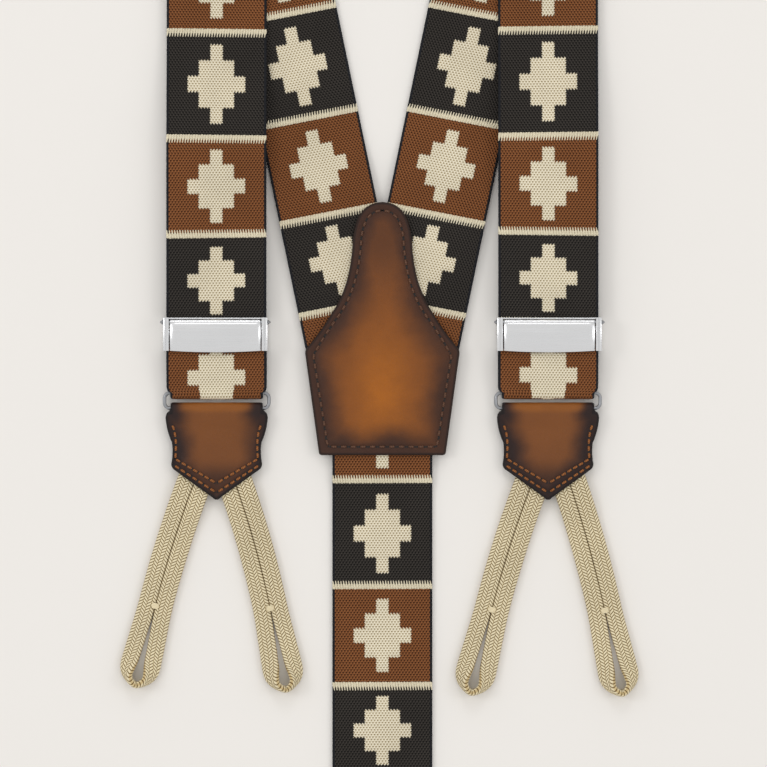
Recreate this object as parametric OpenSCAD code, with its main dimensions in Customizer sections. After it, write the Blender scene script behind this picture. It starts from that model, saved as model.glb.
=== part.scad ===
// Y-back braces for trouser buttons, laid flat and face up on a surface at z = 0.
// Two shoulder straps and one back strap of woven elastic meet in a leather patch.
// Each shoulder strap makes two flat folds at the shoulder, comes down the front,
// passes a flip-lever adjuster, turns round a wire ring and ends on the adjuster.
// Every ring carries a leather tab with two braided button loops.
// X = 0 is the mirror plane and +Y runs from the back tab to the shoulders.

/* [Webbing] */
// Width of the woven elastic
web_w = 35; // [34:0.5:35]
// Thickness of the woven elastic
web_t = 1.4; // [1.2:0.1:1.4]

/* [Layout] */
// Distance of each front strap's centre line from the mirror plane
front_x = 58; // [56:1:64]
// Lean of each back leg away from the mirror plane, in degrees
leg_angle = 11.75; // [11.5:0.25:12]
// Height of the outer shoulder fold above the patch datum
shoulder_y = 440; // [430:5:460]
// Distance of the back ring below the patch datum
back_len = 225; // [180:5:260]

/* [Patch] */
// Greatest width of the leather patch
patch_w = 54.4; // [50:0.2:60]
// Thickness of the patch's face leather
patch_t = 1.5; // [1.2:0.1:1.8]
// Thickness of the patch's backing leather
backing_t = 1.2; // [0.8:0.1:1.2]

/* [Adjuster] */
// Width of the adjuster frame
adj_w = 36.6; // [36.6:0.1:37.2]
// Height of the adjuster frame along the strap
adj_h = 11.6; // [11.6:0.1:12.4]
// Thickness of the frame's sheet metal
sheet = 0.45; // [0.4:0.01:0.45]
// Width of the flip lever
lever_w = 31.8; // [30:0.2:32]
// Diameter of the lever's pivot pin
pin_d = 1.1; // [1:0.1:1.1]
// Diameter of the rear bar that holds the end of the strap
bar_d = 1.5; // [1.3:0.1:1.5]

/* [Ring] */
// Diameter of the ring's wire
wire_d = 1.25; // [1.1:0.05:1.25]
// Distance between the ring's two bars
ring_h = 5.5; // [5.5:0.1:6]

/* [Tab] */
// Greatest width of the leather tab
tab_w = 35.7; // [34:0.1:36]
// Thickness of the folded tab
tab_t = 4.6; // [4.4:0.1:4.6]

/* [Button loops] */
// Width of one flat braided strand
braid_w = 6; // [5:0.1:6.05]
// Thickness of one braided strand
braid_t = 2.4; // [2:0.1:2.4]

/* [Hidden] */
$fn = 48;
side_names = ["left", "right"];
side_parts = ["back_leg", "shoulder_fold", "front_strap", "front_run", "strap_turn", "return_run",
    "tail_seam", "adjuster_frame", "rear_bar", "pivot_pin", "lever", "ring", "tab",
    "tab_stitching", "outer_braid", "inner_braid", "bar_tacks"];
centre_parts = ["patch_leather", "patch_backing", "patch_stitching", "back_strap", "back_seam",
    "back_ring", "back_tab", "back_tab_stitching", "back_left_braid", "back_right_braid",
    "back_bar_tacks"];

brown = "#7a4423";
tan_leather = "#8a5520";
dark_leather = "#3a2720";
steel = "#c9cbce";
cream = "#d8c9a0";
thread = "#a8652c";

// Strap heights, each measured to the middle of the webbing
half_web = web_w / 2;
on_floor = web_t / 2;
turn_r = 1.6;                       // middle of the webbing where it turns round a bar
bar_z = on_floor + turn_r;          // height of every bar that the webbing turns round
at_ring = bar_z + turn_r;           // front ply above the ring
in_adjuster = at_ring + 1.7;        // front ply inside the adjuster
over_leg = web_t + 0.2 + on_floor;  // front strap where it lies on the back leg
on_backing = backing_t + on_floor;  // straps inside the patch
turn_half = half_web - 1.3;         // half width of the webbing where it turns

// Stations along Y, from the patch datum
ring_y = -3.2;
adj_y = 17.2;
run_top = 80;
cross_top = 360;
rear_bar_y = adj_y + 3.2;
tail_lap = 14;
patch_top = 63.5;
patch_shoulder = 11.6;
patch_bottom = -25.1;
straps_meet = 6;

// Shoulder folds: the leg folds to run sideways, then folds again to come down
fold_r = 1.3;
fold_shift = PI * fold_r;
leg_dir = 90 + leg_angle;
crease_1 = leg_dir / 2;
apex_y = -31.2;
fold_x = -(shoulder_y - apex_y) * tan(leg_angle);
leg_len = (shoulder_y - apex_y) / cos(leg_angle);
shift_x = fold_shift * (cos(45) - sin(crease_1));
shift_y = fold_shift * (sin(45) + cos(crease_1));
link_len = -front_x - fold_x - shift_x;
fold_top = shoulder_y + fold_shift * cos(crease_1) + half_web;
front_top = shoulder_y - half_web - 12;
leg_end = leg_len - half_web - 8;
leg_low = 118;                      // distance along the leg at which it reaches the surface

// Tab: its leather is folded round the ring's lower bar
tab_bar = ring_y - ring_h;
tab_fold_r = 2.1;
tab_bore = wire_d / 2 + 0.05;
tab_half = tab_w / 2;
tab_point = -40.8;
loop_root_y = -36.6;
loop_start = -3.5;
pocket_gap = 0.1;

// Origin: below the middle of the braces, with the cord loops left out
back_shift = ring_y + back_len;
origin_y = (fold_top + tab_point - back_shift) / 2;

// Button loops: [root x, lean at the tab, lean at the tip, length to the tip], leans in degrees
left_loops = [[-8.6, -20.5, -14, 71.6], [7.1, 19, 11.6, 72.5]];
right_loops = [[-6.3, -20.5, -14.3, 74.4], [8.1, 18.5, 12.2, 74]];
back_loops = [[-7.6, -17, -12, 72], [7.6, 17, 12, 72]];

// One strand's route down to the tip in its loop's own frame: [across, along, roll in degrees].
// It is drawn for a loop route_tip long, and each loop stretches the part past steady_to.
loop_bend = 45;
steady_to = 14;
route_tip = 71.9;
knot_at = 43.4;
loop_down = [[-3.05, loop_start, 0], [-3.05, 5, 0], [-3.05, 14, 0], [-3.05, 28, 0], [-3.05, 44, 0],
    [-3.55, 55, 0], [-3.95, 62.4, 10], [-4.1, 67, 40], [-2.9, 70.2, 75]];
leaves_tab = 6;                     // distance along the loop at which it is clear of the tab

// ---------- shared functions ----------

function ease(t) = t * t * (3 - 2 * t);

// Smooth rise of a strap from one height to another
function rise(y0, z0, y1, z1, n = 8) =
    [for (i = [0:n]) [y0 + (y1 - y0) * i / n, z0 + (z1 - z0) * ease(i / n)]];

// Curve from a to c that leans towards b
function curve(a, b, c, n = 8) =
    [for (i = [0:n]) let (t = i / n) (1 - t) * (1 - t) * a + 2 * t * (1 - t) * b + t * t * c];

function mirrored(p) = [for (i = [len(p) - 1:-1:0]) [-p[i][0], p[i][1]]];
function backwards(p) = [for (i = [len(p) - 1:-1:0]) p[i]];

function run_len(p, i = 0) = i >= len(p) - 1 ? 0 : norm(p[i + 1] - p[i]) + run_len(p, i + 1);

// Place and direction at distance d along a polyline
function point_at(p, d, i = 0) =
    let (v = p[i + 1] - p[i], s = norm(v))
    (d <= s || i == len(p) - 2)
        ? [p[i][0] + v[0] * d / s, p[i][1] + v[1] * d / s, atan2(v[1], v[0])]
        : point_at(p, d - s, i + 1);

// ---------- shared modules ----------

// Places a drawing of (along, up) across the strap
module across(w) {
    rotate([90, 0, 90]) linear_extrude(w, center = true) children();
}

// Side view of a strap whose middle follows path
module web_side(path) {
    polygon(concat([for (p = path) p + [0, web_t / 2]],
        [for (p = backwards(path)) p - [0, web_t / 2]]));
}

// Side view of the webbing turning round a bar, dir -1 below the bar and 1 above it
module turn_side(y, dir) {
    translate([y, bar_z]) intersection() {
        difference() {
            circle(turn_r + web_t / 2);
            circle(turn_r - web_t / 2);
        }
        translate([dir * 5, 0]) square(10, center = true);
    }
}

// A row of thread stitches on a face at height z
module stitch_row(path, z, pitch, long) {
    total = run_len(path);
    count = floor(total / pitch);
    for (i = [0:count - 1]) {
        p = point_at(path, (i + 0.5) * total / count);
        translate([p[0], p[1], z]) rotate(p[2]) translate([-long / 2, -0.25, 0]) cube([long, 0.5, 0.25]);
    }
}

// ---------- shoulder straps ----------

// Height of the back leg's middle, by distance from the apex along the leg
module leg_side() {
    web_side(concat([[0, on_backing]], rise(leg_low - 18, on_backing, leg_low, on_floor),
        [[leg_end, on_floor]]));
}

// The back leg from the mitre under the patch to the shoulder fold
module back_leg() {
    color(brown) intersection() {
        translate([0, apex_y]) rotate(leg_angle) across(web_w) leg_side();
        translate([-200, straps_meet, -1]) cube([200, 600, 20]);
    }
}

// A strip point bent round a crease at c with direction a, rolling up by fold_r
function rolled(q, w) =
    q < 0 ? [q, w]
    : q < fold_shift ? let (t = q / fold_r * 180 / PI) [(fold_r - w) * sin(t), fold_r - (fold_r - w) * cos(t)]
    : [fold_shift - q, 2 * fold_r - w];

// Second fold, in the flat strip's own frame [across, along, up]
function second_fold(u, v, w) =
    let (q = (u + v - leg_len - link_len) * cos(45), s = (v - leg_len - link_len - u) * cos(45),
        r = rolled(q, -w))
    [(r[0] - s) * cos(45), leg_len + link_len + (r[0] + s) * cos(45), -r[1], q >= 0];

// First fold, with everything past the second crease turned over as one piece
function first_fold(p) =
    let (x = p[0] * cos(leg_angle) - p[1] * sin(leg_angle) - fold_x,
        y = p[0] * sin(leg_angle) + p[1] * cos(leg_angle) + apex_y - shoulder_y,
        q = y * cos(crease_1) - x * sin(crease_1), s = x * cos(crease_1) + y * sin(crease_1),
        r = p[3] ? [fold_shift - q, 2 * fold_r - p[2]] : rolled(q, p[2]))
    [fold_x + s * cos(crease_1) - r[0] * sin(crease_1),
        shoulder_y + s * sin(crease_1) + r[0] * cos(crease_1), on_floor + r[1]];

function folded(u, v, w) = first_fold(second_fold(u, v, w));

// Length of the strip at which the front strap takes over
strip_end = leg_len + link_len + shoulder_y + shift_y - front_top;

// The two flat folds and the short link between them
module shoulder_fold() {
    rows = 60;
    cols = 8;
    verts = [for (w = [-web_t / 2, web_t / 2], i = [0:rows], j = [0:cols])
        folded(-half_web + web_w * j / cols, leg_end + (strip_end - leg_end) * i / rows, w)];
    layer = (rows + 1) * (cols + 1);
    function at(i, j, k) = k * layer + i * (cols + 1) + j;
    // Two triangles of a four-cornered patch, with its corners given clockwise as seen from outside
    function two(a, b, c, d) = [[a, b, c], [a, c, d]];
    faces = concat(
        [for (i = [0:rows - 1], j = [0:cols - 1]) each concat(
            two(at(i, j, 1), at(i + 1, j, 1), at(i + 1, j + 1, 1), at(i, j + 1, 1)),
            two(at(i, j, 0), at(i, j + 1, 0), at(i + 1, j + 1, 0), at(i + 1, j, 0)))],
        [for (i = [0:rows - 1]) each concat(
            two(at(i, 0, 0), at(i + 1, 0, 0), at(i + 1, 0, 1), at(i, 0, 1)),
            two(at(i, cols, 0), at(i, cols, 1), at(i + 1, cols, 1), at(i + 1, cols, 0)))],
        [for (j = [0:cols - 1]) each concat(
            two(at(0, j, 0), at(0, j, 1), at(0, j + 1, 1), at(0, j + 1, 0)),
            two(at(rows, j, 0), at(rows, j + 1, 0), at(rows, j + 1, 1), at(rows, j, 1)))]);
    color(brown) polyhedron(verts, faces, convexity = 6);
}

// The front strap from the shoulder fold to the top of the adjusted run
module front_strap() {
    folds_z = on_floor + 4 * fold_r;
    color(brown) translate([-front_x, 0]) across(web_w)
        web_side(concat(rise(run_top, in_adjuster, run_top + 50, over_leg),
            rise(cross_top, over_leg, front_top, folds_z)));
}

// The front ply that the adjuster slides on, down to the ring
module front_run() {
    color(brown) translate([-front_x, 0]) intersection() {
        across(web_w) web_side(concat(rise(ring_y, at_ring, 8, in_adjuster), [[run_top, in_adjuster]]));
        linear_extrude(20) polygon(concat(
            curve([turn_half, ring_y], [half_web, ring_y], [half_web, ring_y + 2.3], 4),
            [[half_web, run_top], [-half_web, run_top]],
            curve([-half_web, ring_y + 2.3], [-half_web, ring_y], [-turn_half, ring_y], 4)));
    }
}

// The half turn round the ring's upper bar
module strap_turn() {
    color(brown) translate([-front_x, 0]) across(2 * turn_half) turn_side(ring_y, -1);
}

// The rear ply, from the ring up to and round the adjuster's rear bar
module return_run() {
    tail_z = on_floor + web_t + 0.02;
    color(brown) translate([-front_x, 0]) intersection() {
        union() {
            across(web_w) web_side([[ring_y, on_floor], [rear_bar_y, on_floor]]);
            across(web_w) turn_side(rear_bar_y, 1);
            across(web_w) web_side(concat([[rear_bar_y - tail_lap, tail_z]],
                rise(rear_bar_y - 5, tail_z, rear_bar_y, at_ring)));
        }
        linear_extrude(20) polygon(concat(
            curve([turn_half, ring_y], [half_web, ring_y], [half_web, ring_y + 2.3], 4),
            [[half_web, 40], [-half_web, 40]],
            curve([-half_web, ring_y + 2.3], [-half_web, ring_y], [-turn_half, ring_y], 4)));
    }
}

// Thread that closes the turned end of the strap
module tail_seam() {
    color(thread) translate([-front_x, 0]) for (d = [8.5, 11.5])
        stitch_row([[-half_web + 2, rear_bar_y - d], [half_web - 2, rear_bar_y - d]],
            2 * web_t + 0.02, 2.4, 1.6);
}

// ---------- adjuster ----------

adj_x = front_x + 0.3;
frame_low = 0.8;
face_z = 8.4;
lip = 2.1;
pin_y = adj_y + 4.2;
pin_z = 7.4;
knuckle_r = 1;
lever_low = adj_y - adj_h / 2 - 0.5;

// Puts an upright drawing of (along, up) on the adjuster's centre line
module at_adjuster() {
    translate([-adj_x, 0]) children();
}

// A round rod of length w across the strap
module cross_rod(y, z, d, w) {
    translate([0, y, z]) rotate([0, 90, 0]) cylinder(d = d, h = w, center = true);
}

// Sheet-metal frame: two side walls, front lips, a back plate and a top bridge
module adjuster_frame() {
    bottom = adj_y - adj_h / 2;
    back_plate_z = in_adjuster - web_t / 2 - 0.8;
    color(steel) at_adjuster() difference() {
        union() {
            for (s = [-1, 1]) {
                translate([s * (adj_w - sheet) / 2, adj_y, (frame_low + face_z) / 2])
                    cube([sheet, adj_h, face_z - frame_low], center = true);
                translate([s * (adj_w - lip) / 2, adj_y, face_z - 0.25])
                    cube([lip, adj_h, 0.5], center = true);
            }
            translate([-adj_w / 2, bottom, back_plate_z]) cube([adj_w, 5.2, 0.7]);
            translate([-adj_w / 2, bottom + adj_h - 0.5, in_adjuster + web_t / 2 + 0.2])
                cube([adj_w, 0.5, 0.6]);
        }
        cross_rod(pin_y, pin_z, pin_d, adj_w + 2);
        cross_rod(rear_bar_y, bar_z, bar_d, adj_w + 2);
    }
}

// Round bar, riveted in the frame, that holds the end of the strap
module rear_bar() {
    color(steel) at_adjuster() cross_rod(rear_bar_y, bar_z, bar_d, adj_w);
}

// Pin with a conical head on each end
module pivot_pin() {
    color(steel) at_adjuster() {
        cross_rod(pin_y, pin_z, pin_d, adj_w);
        for (s = [0, 180]) translate([0, pin_y, pin_z]) rotate([0, 90, s]) translate([0, 0, adj_w / 2])
            cylinder(h = 1, r1 = 1, r2 = 0.2);
    }
}

// Flip lever: a domed plate, a knuckle on the pin and a toothed edge that grips the strap
module lever() {
    teeth_z = in_adjuster + web_t / 2 + 0.1;
    face = curve([pin_y, pin_z + knuckle_r], [adj_y, pin_z + knuckle_r + 0.9],
        [lever_low, pin_z + knuckle_r - 0.2]);
    color(steel) at_adjuster() difference() {
        across(lever_w) difference() {
            union() {
                translate([pin_y, pin_z]) circle(knuckle_r);
                polygon(concat(face, [for (p = backwards(face)) p - [0, 0.6]]));
                translate([pin_y - 2.6, teeth_z]) square([1, 8.2 - teeth_z]);
            }
            translate([pin_y, pin_z]) circle(pin_d / 2 + 0.05);
        }
        for (x = [-lever_w / 2:1.5:lever_w / 2]) translate([x, pin_y - 3, teeth_z - 0.1]) cube([0.7, 2, 0.7]);
    }
}

// ---------- ring ----------

ring_r = 2;
ring_half = half_web + 0.15 + wire_d / 2;

// Rounded wire loop between the strap's turn (top bar) and the tab (lower bar)
module wire_ring() {
    inner_x = ring_half - ring_r;
    inner_y = ring_h / 2 - ring_r;
    color(steel) translate([0, ring_y - ring_h / 2, bar_z]) {
        for (s = [-1, 1]) {
            translate([0, s * ring_h / 2]) rotate([0, 90, 0])
                cylinder(d = wire_d, h = 2 * inner_x, center = true);
            translate([s * ring_half, 0]) rotate([90, 0, 0])
                cylinder(d = wire_d, h = 2 * inner_y, center = true);
        }
        for (c = [[1, 1, 0], [-1, 1, 90], [-1, -1, 180], [1, -1, 270]])
            translate([c[0] * inner_x, c[1] * inner_y]) rotate(c[2])
                rotate_extrude(angle = 90) translate([ring_r, 0]) circle(d = wire_d);
    }
}

// ---------- leather tab ----------

neck_half = tab_half - 1.75;
tab_side = concat([[neck_half, tab_bar]],
    curve([neck_half, tab_bar - 0.8], [tab_half - 0.2, tab_bar - 1], [tab_half, tab_bar - 3.3]),
    curve([tab_half, tab_bar - 3.3], [tab_half - 0.3, tab_bar - 8], [tab_half - 2.2, tab_bar - 12]),
    curve([tab_half - 2.2, tab_bar - 12], [tab_half - 2.7, tab_bar - 16], [tab_half - 1.95, tab_bar - 19.5]),
    curve([tab_half - 1.95, tab_bar - 19.5], [tab_half - 1.9, tab_bar - 21],
        [tab_half - 3.7, tab_bar - 22], 4),
    curve([1.4, tab_point + 0.9], [0.7, tab_point + 0.1], [0, tab_point], 3));

// Upright middle line of one button loop at distance s below its root
function loop_axis(loop, s) =
    let (turn = loop[2] - loop[1], b = min(s, loop_bend), a = loop[1] + turn * max(b, 0) / loop_bend,
        k = turn / loop_bend * PI / 180, m = s - max(b, 0))
    [loop[0] + (cos(loop[1]) - cos(a)) / k + m * sin(a),
        loop_root_y - (sin(a) - sin(loop[1])) / k - m * cos(a), a];

// Place on a loop, from its axis and a distance across it
function loop_point(loop, u, s) =
    let (p = loop_axis(loop, s)) [p[0] + u * cos(p[2]), p[1] + u * sin(p[2]), p[2]];

// Pocket between the two faces of the leather for the end of a button loop
module loop_pocket(loop) {
    p = loop_axis(loop, loop_start);
    size = [2 * braid_w + 0.4, 30, braid_t + 2 * pocket_gap];
    translate([p[0], p[1], bar_z]) rotate(p[2])
        translate([-size[0] / 2, pocket_gap - size[1], -size[2] / 2]) cube(size);
}

// Leather folded round the ring's lower bar and sewn shut round the button loops
module leather_tab(loops) {
    color(tan_leather) difference() {
        union() {
            translate([0, 0, bar_z - tab_t / 2]) linear_extrude(tab_t)
                polygon(concat(tab_side, mirrored(tab_side)));
            cross_rod(tab_bar, bar_z, 2 * tab_fold_r, 2 * neck_half);
        }
        cross_rod(tab_bar, bar_z, 2 * tab_bore, tab_w + 2);
        for (l = loops) loop_pocket(l);
    }
}

// Thread in the tab: a row down each side and a double row along the point
module tab_stitching() {
    side_x = tab_half - 3.4;
    corner_y = tab_bar - 17.7;
    side_row = curve([side_x + 0.6, tab_bar - 6], [side_x - 0.4, tab_bar - 9], [side_x, corner_y], 4);
    color(thread) for (m = [0, 1]) mirror([m, 0]) {
        stitch_row(side_row, bar_z + tab_t / 2, 2.1, 1.4);
        stitch_row([[side_x, corner_y], [0.6, tab_point + 6.2]], bar_z + tab_t / 2, 2.1, 1.4);
        stitch_row([[side_x + 0.4, corner_y - 2.2], [0.6, tab_point + 2.9]], bar_z + tab_t / 2, 2.1, 1.4);
    }
}

// ---------- button loops ----------

// Distance along a loop that answers to distance s along the route as drawn
function stretched(loop, s) =
    s <= steady_to ? s : steady_to + (s - steady_to) * (loop[3] - steady_to) / (route_tip - steady_to);

// Whole route of one strand, down to the tip and back up
function loop_route(loop) =
    let (down = [for (r = loop_down) [r[0], stretched(loop, r[1]), r[2]]])
    concat(down, [[0, loop[3], 90]], [for (r = backwards(down)) [-r[0], r[1], r[2]]]);

// Ring of eight points round the strand at one point of its route
function strand_ring(loop, route, i) =
    let (r = route[i], p = loop_point(loop, r[0], r[1]),
        before = route[max(i - 1, 0)], after = route[min(i + 1, len(route) - 1)],
        q0 = loop_point(loop, before[0], before[1]), q1 = loop_point(loop, after[0], after[1]),
        d = atan2(q1[1] - q0[1], q1[0] - q0[0]) + 90, roll = r[2],
        lie = braid_w / 2 * sin(roll) + braid_t / 2 * cos(roll),
        z = r[1] < leaves_tab ? bar_z : lie + 0.02,
        g = 1 / cos(22.5))
    [for (k = [0:7]) let (t = 22.5 + 45 * k, a = braid_w / 2 * g * cos(t), b = braid_t / 2 * g * sin(t),
        n = a * cos(roll) - b * sin(roll))
        [p[0] + n * cos(d), p[1] + n * sin(d), z + a * sin(roll) + b * cos(roll)]];

// One braided strand out of the tab, round its button eye and back into the tab
module button_loop(loop) {
    route = loop_route(loop);
    n = len(route);
    verts = [for (i = [0:n - 1]) each strand_ring(loop, route, i)];
    sides = [for (i = [0:n - 2], k = [0:7]) each
        [[i * 8 + k, i * 8 + (k + 1) % 8, (i + 1) * 8 + (k + 1) % 8],
         [i * 8 + k, (i + 1) * 8 + (k + 1) % 8, (i + 1) * 8 + k]]];
    caps = [[for (k = [7:-1:0]) k], [for (k = [0:7]) (n - 1) * 8 + k]];
    color(cream) polyhedron(verts, concat(sides, caps), convexity = 6);
}

// Thread knots that close the strands above each button eye
module bar_tacks(loops) {
    color(cream) for (l = loops) {
        p = loop_axis(l, stretched(l, knot_at));
        translate([p[0], p[1], braid_t + 0.35]) rotate(p[2]) cube([2.6, 1.8, 0.6], center = true);
    }
}

// ---------- patch and back strap ----------

patch_half = patch_w / 2;

// Right edge of the patch from head to foot, drawn in by the inset e
function patch_edge(e) =
    let (neck = [10.3 - e, 50.5 + e / 3], flare = [patch_half - 9.7 - e * 0.8, 25 - e / 3],
        corner_top = [patch_half - 0.8 - e, patch_shoulder + 0.9 - e / 2],
        corner_low = [patch_half - 0.2 - e, patch_shoulder - 1.2 - e / 2])
    concat(
        curve([0, patch_top - e], [9 - e, patch_top - e], neck),
        curve(neck, [11 - e, 34], flare),
        curve(flare, [patch_half - 6, 18.5 - e], corner_top),
        curve(corner_top, [patch_half - e, patch_shoulder - e / 2], corner_low, 3),
        curve([22.2 - e, patch_bottom + 0.8 + e], [22 - e, patch_bottom + e],
            [21.2 - e, patch_bottom + e], 3));

module patch_shape(e) {
    polygon(concat(patch_edge(e), mirrored(patch_edge(e))));
}

// Face leather over the junction of the three straps
module patch_leather() {
    color(tan_leather) translate([0, 0, backing_t + web_t]) linear_extrude(patch_t) patch_shape(0);
}

// Backing leather under the junction
module patch_backing() {
    color(dark_leather) linear_extrude(backing_t) patch_shape(0.4);
}

// Thread round the edge of the patch
module patch_stitching() {
    color(dark_leather) for (m = [0, 1]) mirror([m, 0])
        stitch_row(concat(patch_edge(3), [[0, patch_bottom + 3]]), backing_t + web_t + patch_t, 3.35, 2);
}

// Back strap from the patch to its ring, with its end turned up and sewn
module back_strap() {
    back_y = -back_len;
    color(brown) {
        across(web_w) {
            web_side(concat(rise(back_y + 6, at_ring, back_y + 45, on_floor),
                rise(patch_bottom - 16, on_floor, patch_bottom - 2, on_backing),
                [[straps_meet - 0.2, on_backing]]));
            web_side([[back_y + 2.3, on_floor], [back_y + 22, on_floor]]);
        }
        across(2 * turn_half) {
            web_side([[back_y, at_ring], [back_y + 6, at_ring]]);
            web_side([[back_y, on_floor], [back_y + 2.3, on_floor]]);
            turn_side(back_y, -1);
        }
    }
}

// Thread through both plies of the back strap above its ring
module back_seam() {
    seam_y = 4.5 - back_len;
    color(thread) stitch_row([[-half_web + 2, seam_y], [half_web - 2, seam_y]],
        at_ring + web_t / 2, 2.4, 1.6);
}

// ---------- placing ----------

// Moves a part from the patch datum to the braces' own origin
module placed() {
    translate([0, -origin_y]) children();
}

// Draws one part of a shoulder strap, on the left as modelled or mirrored to the right
module side_part(side, part) {
    loops = side == "left" ? left_loops : right_loops;
    placed() {
        mirror([side == "left" ? 0 : 1, 0]) {
            if (part == "back_leg") back_leg();
            if (part == "shoulder_fold") shoulder_fold();
            if (part == "front_strap") front_strap();
            if (part == "front_run") front_run();
            if (part == "strap_turn") strap_turn();
            if (part == "return_run") return_run();
            if (part == "tail_seam") tail_seam();
            if (part == "adjuster_frame") adjuster_frame();
            if (part == "rear_bar") rear_bar();
            if (part == "pivot_pin") pivot_pin();
            if (part == "lever") lever();
        }
        translate([side == "left" ? -front_x : front_x, 0]) {
            if (part == "ring") wire_ring();
            if (part == "tab") leather_tab(loops);
            if (part == "tab_stitching") tab_stitching();
            if (part == "outer_braid") button_loop(side == "left" ? loops[0] : loops[1]);
            if (part == "inner_braid") button_loop(side == "left" ? loops[1] : loops[0]);
            if (part == "bar_tacks") bar_tacks(loops);
        }
    }
}

// Moves a front ring's parts down to the back ring
module at_back() {
    placed() translate([0, -back_shift]) children();
}

for (s = side_names, p = side_parts) side_part(s, p);
placed() patch_leather();
placed() patch_backing();
placed() patch_stitching();
placed() back_strap();
placed() back_seam();
at_back() wire_ring();  // back_ring
at_back() leather_tab(back_loops);  // back_tab
at_back() tab_stitching();  // back_tab_stitching
at_back() button_loop(back_loops[0]);  // back_left_braid
at_back() button_loop(back_loops[1]);  // back_right_braid
at_back() bar_tacks(back_loops);  // back_bar_tacks
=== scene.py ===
"""Looks of the Y-back button braces: webbing, leather, thread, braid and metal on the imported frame."""
import logging
import math
from dataclasses import dataclass, field
from enum import Enum
from typing import Callable

import bmesh
import bpy
import numpy as np
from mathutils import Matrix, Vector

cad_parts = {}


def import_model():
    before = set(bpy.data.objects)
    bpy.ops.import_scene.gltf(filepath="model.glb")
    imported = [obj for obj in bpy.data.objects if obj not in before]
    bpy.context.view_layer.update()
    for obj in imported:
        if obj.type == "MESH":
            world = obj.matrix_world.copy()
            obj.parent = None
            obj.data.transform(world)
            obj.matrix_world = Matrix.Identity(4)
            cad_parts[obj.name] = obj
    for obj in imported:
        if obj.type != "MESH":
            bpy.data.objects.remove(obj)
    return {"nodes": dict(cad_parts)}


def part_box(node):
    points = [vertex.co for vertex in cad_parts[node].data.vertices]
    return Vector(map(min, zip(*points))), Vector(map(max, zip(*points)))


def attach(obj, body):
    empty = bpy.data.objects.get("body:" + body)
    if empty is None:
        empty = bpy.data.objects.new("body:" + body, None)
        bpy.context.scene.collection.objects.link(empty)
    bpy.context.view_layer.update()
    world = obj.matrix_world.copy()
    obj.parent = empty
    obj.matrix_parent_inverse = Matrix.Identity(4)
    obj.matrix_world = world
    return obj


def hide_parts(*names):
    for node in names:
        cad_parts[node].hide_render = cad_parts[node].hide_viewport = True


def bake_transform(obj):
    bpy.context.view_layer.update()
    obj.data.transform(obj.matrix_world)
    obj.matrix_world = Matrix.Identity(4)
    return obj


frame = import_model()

LOG = logging.getLogger("braces")
Array = np.ndarray
Socket = bpy.types.NodeSocket
Place = Callable[[Array, Array, Array], Array]
Stretch = tuple[float, float, float]
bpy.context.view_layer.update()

MM = 0.001
PATCH_TOP = 63.5
DATUM_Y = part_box("patch_leather")[1].y - PATCH_TOP * MM

# Sizes shared by several sub-assemblies, in millimetres from the patch datum
WEB_HALF = 17.5
WEB_T = 1.4
ON_FLOOR = 0.7
BAR_Z = 2.3
AT_RING = 3.9
IN_ADJUSTER = 5.6
OVER_LEG = 2.3
ON_BACKING = 1.9
RING_Y = -3.2
TAB_BAR = -8.7
TAB_POINT = -40.8
FRONT_X = 58.0
BACK_SHIFT = 221.8


class Side(Enum):
    """The two shoulder straps, with the sign of X on which each lies."""

    LEFT = -1
    RIGHT = 1

    @property
    def word(self) -> str:
        """Name used in node and body names."""
        return self.name.lower()


# ---------- numbers ----------


def world(points: Array) -> Array:
    """Turns points in millimetres from the patch datum into metres in the frame.

    Args:
        points: Array whose last axis is X, Y, Z.

    Returns:
        The same points in the frame's metres.
    """
    return points * MM + np.array([0.0, DATUM_Y, 0.0])


def smooth(low: float, high: float, x: Array | float) -> Array:
    """Smooth step of x from 0 at low to 1 at high."""
    t = np.clip((x - low) / (high - low), 0.0, 1.0)
    return t * t * (3 - 2 * t)


def spline(knots: Array, per: int = 24) -> Array:
    """Passes a smooth curve through knots.

    Args:
        knots: Points of any dimension, in order.
        per: Number of steps between neighbouring knots.

    Returns:
        Points along the curve, both end knots among them.
    """
    p = np.vstack([2 * knots[0] - knots[1], knots, 2 * knots[-1] - knots[-2]])
    t = np.linspace(0, 1, per, endpoint=False)[:, None]
    parts = []
    for a, b, c, d in zip(p, p[1:], p[2:], p[3:]):
        parts.append(0.5 * (2 * b + (c - a) * t + (2 * a - 5 * b + 4 * c - d) * t**2
                            + (3 * b - a - 3 * c + d) * t**3))
    return np.vstack(parts + [knots[-1:]])


def evenly(points: Array, step: float, axes: int = 3) -> Array:
    """Resamples a polyline at an even step.

    Args:
        points: Points in order; columns past axes are carried along.
        step: Distance between the new points.
        axes: Number of leading columns that measure distance.

    Returns:
        The resampled points.
    """
    gone = np.r_[0, np.cumsum(np.linalg.norm(np.diff(points[:, :axes], axis=0), axis=1))]
    at = np.linspace(0, gone[-1], max(2, round(gone[-1] / step) + 1))
    return np.column_stack([np.interp(at, gone, column) for column in points.T])


def curve(a: tuple, b: tuple, c: tuple, n: int = 8) -> list[tuple]:
    """Curve of n steps from a to c that leans towards b."""
    return [tuple((1 - t) ** 2 * p + 2 * t * (1 - t) * q + t * t * r for p, q, r in zip(a, b, c))
            for t in (i / n for i in range(n + 1))]


def far_from(points: Array, line: Array) -> Array:
    """Measures how far points lie from a polyline.

    Args:
        points: Array (..., 2).
        line: Polyline (n, 2).

    Returns:
        The distance of every point, in the shape of points without its last axis.
    """
    a = line[:-1]
    v = line[1:] - a
    rel = points[..., None, :] - a
    t = np.clip((rel * v).sum(-1) / np.maximum((v * v).sum(-1), 1e-9), 0, 1)
    return np.linalg.norm(rel - t[..., None] * v, axis=-1).min(-1)


# ---------- meshes ----------


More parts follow.
